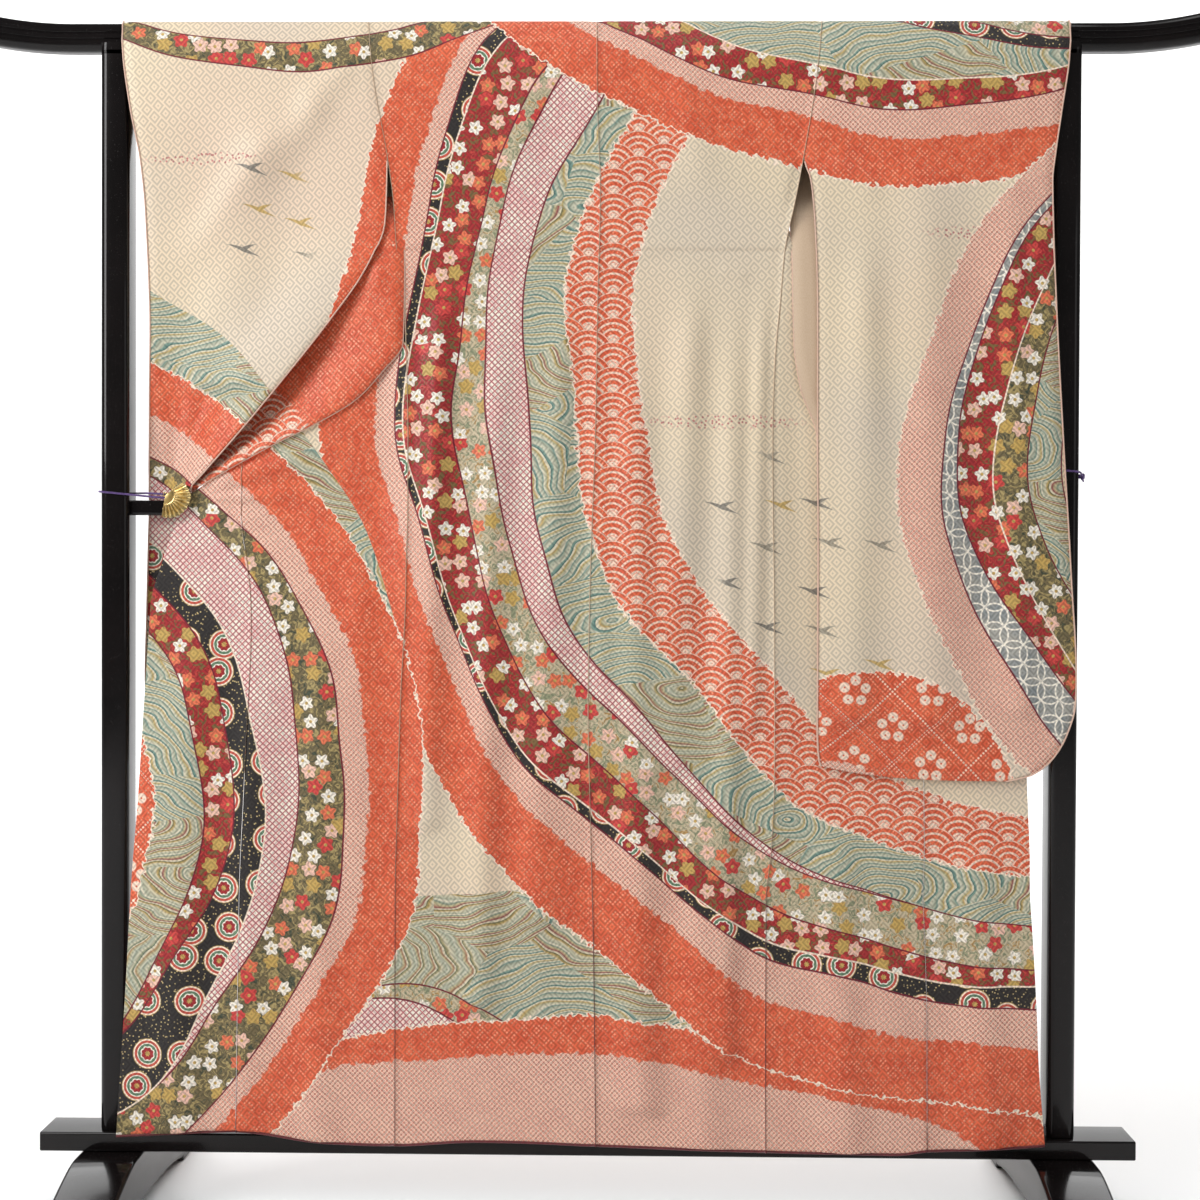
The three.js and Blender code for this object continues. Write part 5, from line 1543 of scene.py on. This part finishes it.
def post_parts(side, steps):
    """A post whose top reaches up before and behind the rail."""
    outline = rounded_rectangle(POST["width"], POST["depth"], POST["round"], steps)
    low, seat = FOOT_RAIL["top"] + CLEAR, RAIL["bottom"] - CLEAR
    points, faces = bar_parts(outline, low, seat, 1.2, "Z", 3)
    parts = [(points, faces)]
    inner = RAIL["depth"] / 2 + CLEAR
    for sign in (1, -1):
        kept = outline[outline[:, 1] * sign >= inner]
        span = kept[np.argsort(np.arctan2(kept[:, 0], kept[:, 1] * sign))]
        cut_x = POST["width"] / 2 - POST["round"] + math.sqrt(
            POST["round"] ** 2 - (inner - POST["depth"] / 2 + POST["round"]) ** 2)
        cheek = np.vstack([[-cut_x, sign * inner], span, [cut_x, sign * inner]])
        if sign > 0:
            cheek = cheek[::-1]
        points, faces = bar_parts(cheek, seat - 8, POST["cheek_top"], 1.4, "Z", 4)
        parts.append((points, faces))
    return [(points + (side * POST["x"], 0, 0), faces) for points, faces in parts]


def quadratic(p0, p1, p2, steps=6):
    t = np.linspace(0, 1, steps + 1)[1:, None]
    p0, p1, p2 = (np.array(p, float) for p in (p0, p1, p2))
    return ((1 - t) ** 2 * p0 + 2 * t * (1 - t) * p1 + t * t * p2).tolist()


def cubic(p0, p1, p2, p3, steps=14):
    t = np.linspace(0, 1, steps + 1)[1:, None]
    p0, p1, p2, p3 = (np.array(p, float) for p in (p0, p1, p2, p3))
    return ((1 - t) ** 3 * p0 + 3 * t * (1 - t) ** 2 * p1 + 3 * t * t * (1 - t) * p2 + t ** 3 * p3).tolist()


def foot_outline():
    """Half of a foot seen from the side, then its mirror image."""
    top = FOOT_RAIL["bottom"] - CLEAR
    end = FOOT["half_length"]
    flat = FOOT["top_flat"]
    arm = quadratic((0, 22), (110, 22), (178, 10), 8)
    half = [(0, 22)] + arm + quadratic((178, 10), (184, 5), (190, 9), 4)
    half += [(196, 0), (end - 8, 0)] + quadratic((end - 8, 0), (end, 2), (end, 14))
    half += quadratic((end, 14), (end, 34), (end - 26, 42))
    half += cubic((end - 26, 42), (end - 90, 58), (flat + 40, top), (flat, top))
    return np.array(half + [(-y, z) for y, z in reversed(half[1:])])


class FURISODE_OT_stand(bpy.types.Operator):
    """The lacquered stand: grooved top rail, posts, middle bar, foot rail and arched feet"""
    bl_idname = "furisode.stand"
    bl_label = "Kimono Stand"

    def execute(self, context):
        steps = context.scene.furisode_stand.corner_steps
        lacquer = looks()("lacquer")
        solid_piece("lacquered_rail", [top_rail_parts(steps)], lacquer, "black_lacquer", "top_rail")
        for side, name in ((-1, "left"), (1, "right")):
            solid_piece(f"lacquered_post_{name}", post_parts(side, steps), lacquer, "black_lacquer",
                        f"post_{name}")
            foot = bar_parts(foot_outline(), side * POST["x"] - FOOT["width"] / 2,
                             side * POST["x"] + FOOT["width"] / 2, FOOT["bevel"], "X", 5)
            solid_piece(f"lacquered_foot_{name}", [foot], lacquer, "black_lacquer", f"foot_{name}")
        half = POST["x"] - POST["width"] / 2 - CLEAR
        height = BAR["top"] - BAR["bottom"]
        outline = rounded_rectangle(BAR["depth"], height, BAR["round"], steps)
        points, faces = bar_parts(outline, -half, half, 0, "X")
        solid_piece("lacquered_bar", [(points + (0, 0, BAR["bottom"] + height / 2), faces)], lacquer,
                    "black_lacquer", "middle_bar")
        height = FOOT_RAIL["top"] - FOOT_RAIL["bottom"]
        outline = rounded_rectangle(FOOT_RAIL["depth"], height, FOOT_RAIL["round"], steps)
        points, faces = bar_parts(outline, -FOOT_RAIL["half_length"], FOOT_RAIL["half_length"], 2, "X")
        solid_piece("lacquered_foot_rail", [(points + (0, 0, FOOT_RAIL["bottom"] + height / 2), faces)],
                    lacquer, "black_lacquer", "foot_rail")
        return {"FINISHED"}


# ------------------------------------------------------------------ clip and cords
CLIP = {"x": -600, "z": 1022, "front": -31, "jaw_y": -18, "jaw": 1.2, "jaw_z": 1002.5}
CLIP_CORD = [
    (-599.4, -28, 1021), (-625, -28, 1023), (-655, -27.4, 1026), (-682, -27.4, 1028.5), (-692, -25.2, 1029.5),
    (-696.4, -18, 1030), (-696.4, 0, 1030), (-696.4, 18, 1030), (-692, 25.2, 1030), (-682, 27.4, 1030),
    (-668, 27.4, 1030), (-657, 25.6, 1030), (-651, 18, 1029.5), (-643, 4, 1029), (-624, -14, 1028),
    (-599.2, -28, 1026),
]
POST_CORD = [
    (699.2, -14, 1057.4), (697, -19, 1060), (692, -25.2, 1062), (682, -27.4, 1063), (666, -27.4, 1064),
    (656, -25.2, 1064), (651.6, -18, 1064), (651.6, 0, 1064), (651.6, 18, 1064), (656, 25.2, 1064),
    (666, 27.4, 1064), (682, 27.4, 1063), (692, 25.2, 1062), (696.4, 18, 1061), (697, 5, 1060),
    (699.2, -2, 1057.4),
]
KNOT = (700.4, -8, 1056)


def twisted_parts(points, strand, strands=3, pitch=7.0):
    """Strands laid round each other along a path."""
    path = smooth_path(points, 0.9)
    run = np.concatenate([[0], np.cumsum(np.linalg.norm(np.diff(path, axis=0), axis=1))])
    _, side, up = frames_along(path)
    parts = []
    for k in range(strands):
        turn = 2 * math.pi * (run / pitch + k / strands)
        offset = strand * 0.72 * (np.cos(turn)[:, None] * side + np.sin(turn)[:, None] * up)
        parts.append(tube_parts(path + offset, strand, 7))
    return parts


class FURISODE_OT_cords(bpy.types.Operator):
    """The clip's cord round the left post, and the knotted loop round the right one"""
    bl_idname = "furisode.cords"
    bl_label = "Cords"

    def execute(self, context):
        strand = context.scene.furisode_stand.strand / MM
        cord = looks()("cord")
        solid_piece("clip_braid", twisted_parts(CLIP_CORD, strand), cord, "purple_cord", "clip_cord")
        solid_piece("post_braid", twisted_parts(POST_CORD, strand), cord, "purple_cord", "post_cord")
        t = np.linspace(0, 2 * math.pi, 60)
        knot = np.stack([2.4 * np.sin(t) + 1.4 * np.sin(2 * t), 2.6 * np.cos(t) - 1.4 * np.cos(2 * t),
                         4.6 * np.sin(3 * t) * 0.5 + 1.5 * np.cos(t)], axis=-1) + KNOT
        tail = smooth_path([(700, -9, 1055), (701.5, -10, 1051), (702.6, -9, 1049.5)], 0.8)
        parts = [tube_parts(knot[:-1], 1.7, 8), tube_parts(tail, 1.2, 8)]
        solid_piece("post_braid_knot", parts, cord, "purple_cord", "post_cord_knot")
        return {"FINISHED"}


class FURISODE_OT_clip(bpy.types.Operator):
    """The small gilt clip in the shape of an open folding fan"""
    bl_idname = "furisode.clip"
    bl_label = "Fan Clip"

    def execute(self, context):
        gold = looks()("gold")
        front = CLIP["front"]
        pin = np.array((CLIP["x"] + 1.5, CLIP["z"] + 2.5))
        first, last, blades = 34, -98, 11
        angles = np.radians(np.linspace(first, last, blades * 4 + 1))
        fold = np.abs((np.arange(len(angles)) % 4) - 2) / 2
        scallop = 1 - 0.035 * fold
        rings = []
        reach = np.interp(np.degrees(angles), [-98, -60, 0, 34], [31.5, 34.5, 36.5, 31.0]) * scallop
        for share in (0.36, 0.5, 0.7, 0.86, 1.0):
            r = reach * share
            y = front + 0.9 - 1.1 * fold * (0.35 + 0.65 * share)
            rings.append(np.stack([pin[0] + r * np.cos(angles), y, pin[1] + r * np.sin(angles)], axis=-1))
        grid = np.array(rings)
        rows, columns = grid.shape[:2]
        both = np.concatenate([grid.reshape(-1, 3), (grid + (0, 1.1, 0)).reshape(-1, 3)])
        index = np.arange(rows * columns).reshape(rows, columns)
        quads = np.stack([index[:-1, :-1], index[:-1, 1:], index[1:, 1:], index[1:, :-1]], -1).reshape(-1, 4)
        loop = np.concatenate([index[0], index[1:, -1], index[-1, :-1][::-1], index[1:-1, 0][::-1]])
        n = rows * columns
        rim = np.stack([loop, np.roll(loop, -1), np.roll(loop, -1) + n, loop + n], axis=-1)
        parts = [(both, quads.tolist() + (quads[:, ::-1] + n).tolist() + rim.tolist())]
        arc = np.radians(np.linspace(first + 2, last - 2, 24))
        heart = np.vstack([[0, 0], np.stack([12.5 * np.cos(arc), 12.5 * np.sin(arc)], axis=-1)])[::-1]
        points, faces = bar_parts(heart, -front - 0.9, -front + 1.0, 0.4, "Z", 3)
        points = np.stack([points[:, 0] + pin[0], -points[:, 2], points[:, 1] + pin[1]], axis=-1)
        parts.append((points, faces))
        ring = np.stack([pin[0] + 13 * np.cos(arc), np.full_like(arc, front - 0.2),
                         pin[1] + 13 * np.sin(arc)], -1)
        parts.append(tube_parts(ring, 0.75, 8))
        for angle in (first + 1.5, last - 1, last + 9):
            way = np.array((math.cos(math.radians(angle)), math.sin(math.radians(angle))))
            ends = [pin + way * r for r in (0.5, 12, 22, 31)]
            guard = np.array([(x, front + 0.2, z) for x, z in ends])
            parts.append(tube_parts(guard, (0.6, 0.8, 0.9, 0.95), 8))
        eye = [(pin[0] - 1.2 + 2.4 * math.cos(a), front + 1.4, pin[1] + 1.4 + 2.4 * math.sin(a))
               for a in np.linspace(0, 2 * math.pi, 18)]
        parts.append(tube_parts(np.array(eye), 0.7, 8))
        back = CLIP["jaw_y"] + CLIP["jaw"]
        section = rounded_rectangle(3, 9, 0.8, 3)
        bridge, faces = bar_parts(section, -back, -(front + 0.6), 0.5, "Z", 3)
        middle = CLIP["jaw_z"]
        bridge = np.stack([bridge[:, 0] + CLIP["x"] - 1.5, -bridge[:, 2], bridge[:, 1] + middle], -1)
        parts.append((bridge, faces))
        section = rounded_rectangle(CLIP["jaw"], 9, 0.5, 3)
        jaw, faces = bar_parts(section, CLIP["x"] - 3, CLIP["x"] + 31, 0.4, "X", 3)
        parts.append((jaw + (0, CLIP["jaw_y"] + CLIP["jaw"] / 2, middle), faces))
        solid_piece("gilt_fan_clip", parts, gold, "antique_gold", "fan_clip")
        return {"FINISHED"}


# ------------------------------------------------------------------ stage
# In metres. The floor runs level from its near edge, bends up along the radius and ends at the top.
FLOOR = {"near": -12.0, "bend": 4.3, "radius": 1.3, "top": 7.0, "half_width": 12.0}
# Place, aim, size and share of the key lamp's power.
LAMPS = {
    "key": ((-2.9, -2.3, 2.5), (0, 0, 0.85), (1.7, 2.2), 1.0),
    "fill": ((3.0, -2.7, 1.6), (0, 0, 0.8), (1.6, 2.2), 0.1),
    "over": ((0.2, -1.3, 4.3), (0, 0.1, 0.6), (2.4, 1.6), 0.5),
    "backdrop": ((0, 4.0, 4.8), (0, 4.8, 0.4), (8.0, 3.0), 4.0),
}
SKY = {"colour": (1.0, 0.99, 0.98, 1.0), "strength": 0.16}
# Place in metres, and yaw, pitch and roll in degrees.
CAMERA = {"place": (0.0558, -2.4747, 0.9109), "turn": (-0.887, -0.755, 0.232), "lens": 51.9, "sensor": 36.0}


class FURISODE_OT_stage(bpy.types.Operator):
    """Pale floor and backdrop, soft lamps and the camera"""
    bl_idname = "furisode.stage"
    bl_label = "Studio"

    def execute(self, context):
        stand = context.scene.furisode_stand
        start, radius, half_width = FLOOR["bend"], FLOOR["radius"], FLOOR["half_width"]
        angles = np.linspace(0, math.pi / 2, 14)
        bend = [(start + radius * math.sin(a), radius - radius * math.cos(a)) for a in angles]
        profile = [(FLOOR["near"], 0.0)] + bend + [(start + radius, FLOOR["top"])]
        points = [(x, y, z) for x in (-half_width, half_width) for y, z in profile]
        n = len(profile)
        faces = [(i, i + 1, n + i + 1, n + i) for i in range(n - 1)]
        mesh = new_mesh("studio_floor", np.array(points) / MM, faces, (stage_material(),))
        floor = link("studio_floor", mesh)
        for name, (place, aim, size, share) in LAMPS.items():
            data = bpy.data.lights.new(f"{name}_lamp", "AREA")
            data.shape = "RECTANGLE"
            data.size, data.size_y = size
            data.energy = stand.key_light * share
            lamp = bpy.data.objects.new(f"{name}_lamp", data)
            lamp.location = place
            lamp.rotation_euler = (Vector(aim) - Vector(place)).to_track_quat("-Z", "Y").to_euler()
            context.scene.collection.objects.link(lamp)
        world = bpy.data.worlds.new("studio")
        world.use_nodes = True
        background = world.node_tree.nodes["Background"]
        background.inputs["Color"].default_value = SKY["colour"]
        background.inputs["Strength"].default_value = SKY["strength"]
        context.scene.world = world
        context.scene.view_settings.view_transform = "Standard"
        data = bpy.data.cameras.new("camera")
        data.sensor_width = CAMERA["sensor"]
        data.lens = CAMERA["lens"]
        camera = bpy.data.objects.new("camera", data)
        yaw, pitch, roll = (math.radians(a) for a in CAMERA["turn"])
        forward = Vector((math.sin(yaw) * math.cos(pitch), math.cos(yaw) * math.cos(pitch), math.sin(pitch)))
        level = Vector((math.cos(yaw), -math.sin(yaw), 0.0))
        upright = level.cross(forward)
        right = level * math.cos(roll) + upright * math.sin(roll)
        up = upright * math.cos(roll) - level * math.sin(roll)
        turn = Matrix((right, up, -forward)).transposed().to_4x4()
        camera.matrix_world = Matrix.Translation(CAMERA["place"]) @ turn
        context.scene.collection.objects.link(camera)
        context.scene.camera = camera
        return {"FINISHED"}


PIECES = (FURISODE_OT_stage, FURISODE_OT_cords, FURISODE_OT_bodies, FURISODE_OT_sleeves, FURISODE_OT_collar,
          FURISODE_OT_stand, FURISODE_OT_clip)


class FURISODE_PT_panel(bpy.types.Panel):
    """Lists the pieces and what can be changed"""
    bl_label = "Furisode"
    bl_space_type = "VIEW_3D"
    bl_region_type = "UI"
    bl_category = "Furisode"

    def draw(self, context):
        layout = self.layout
        for group in (context.scene.furisode_cloth, context.scene.furisode_stand):
            box = layout.box()
            for name in group.__annotations__:
                box.prop(group, name)
        for piece in PIECES:
            layout.operator(piece.bl_idname)


CLASSES = (FurisodeCloth, FurisodeStand, *PIECES, FURISODE_PT_panel)


def register():
    for item in CLASSES:
        bpy.utils.register_class(item)
    bpy.types.Scene.furisode_cloth = PointerProperty(type=FurisodeCloth)
    bpy.types.Scene.furisode_stand = PointerProperty(type=FurisodeStand)


def unregister():
    del bpy.types.Scene.furisode_stand
    del bpy.types.Scene.furisode_cloth
    for item in reversed(CLASSES):
        bpy.utils.unregister_class(item)


def main():
    register()
    for piece in PIECES:
        group, name = piece.bl_idname.split(".")
        getattr(getattr(bpy.ops, group), name)()


if __name__ == "__main__":
    main()
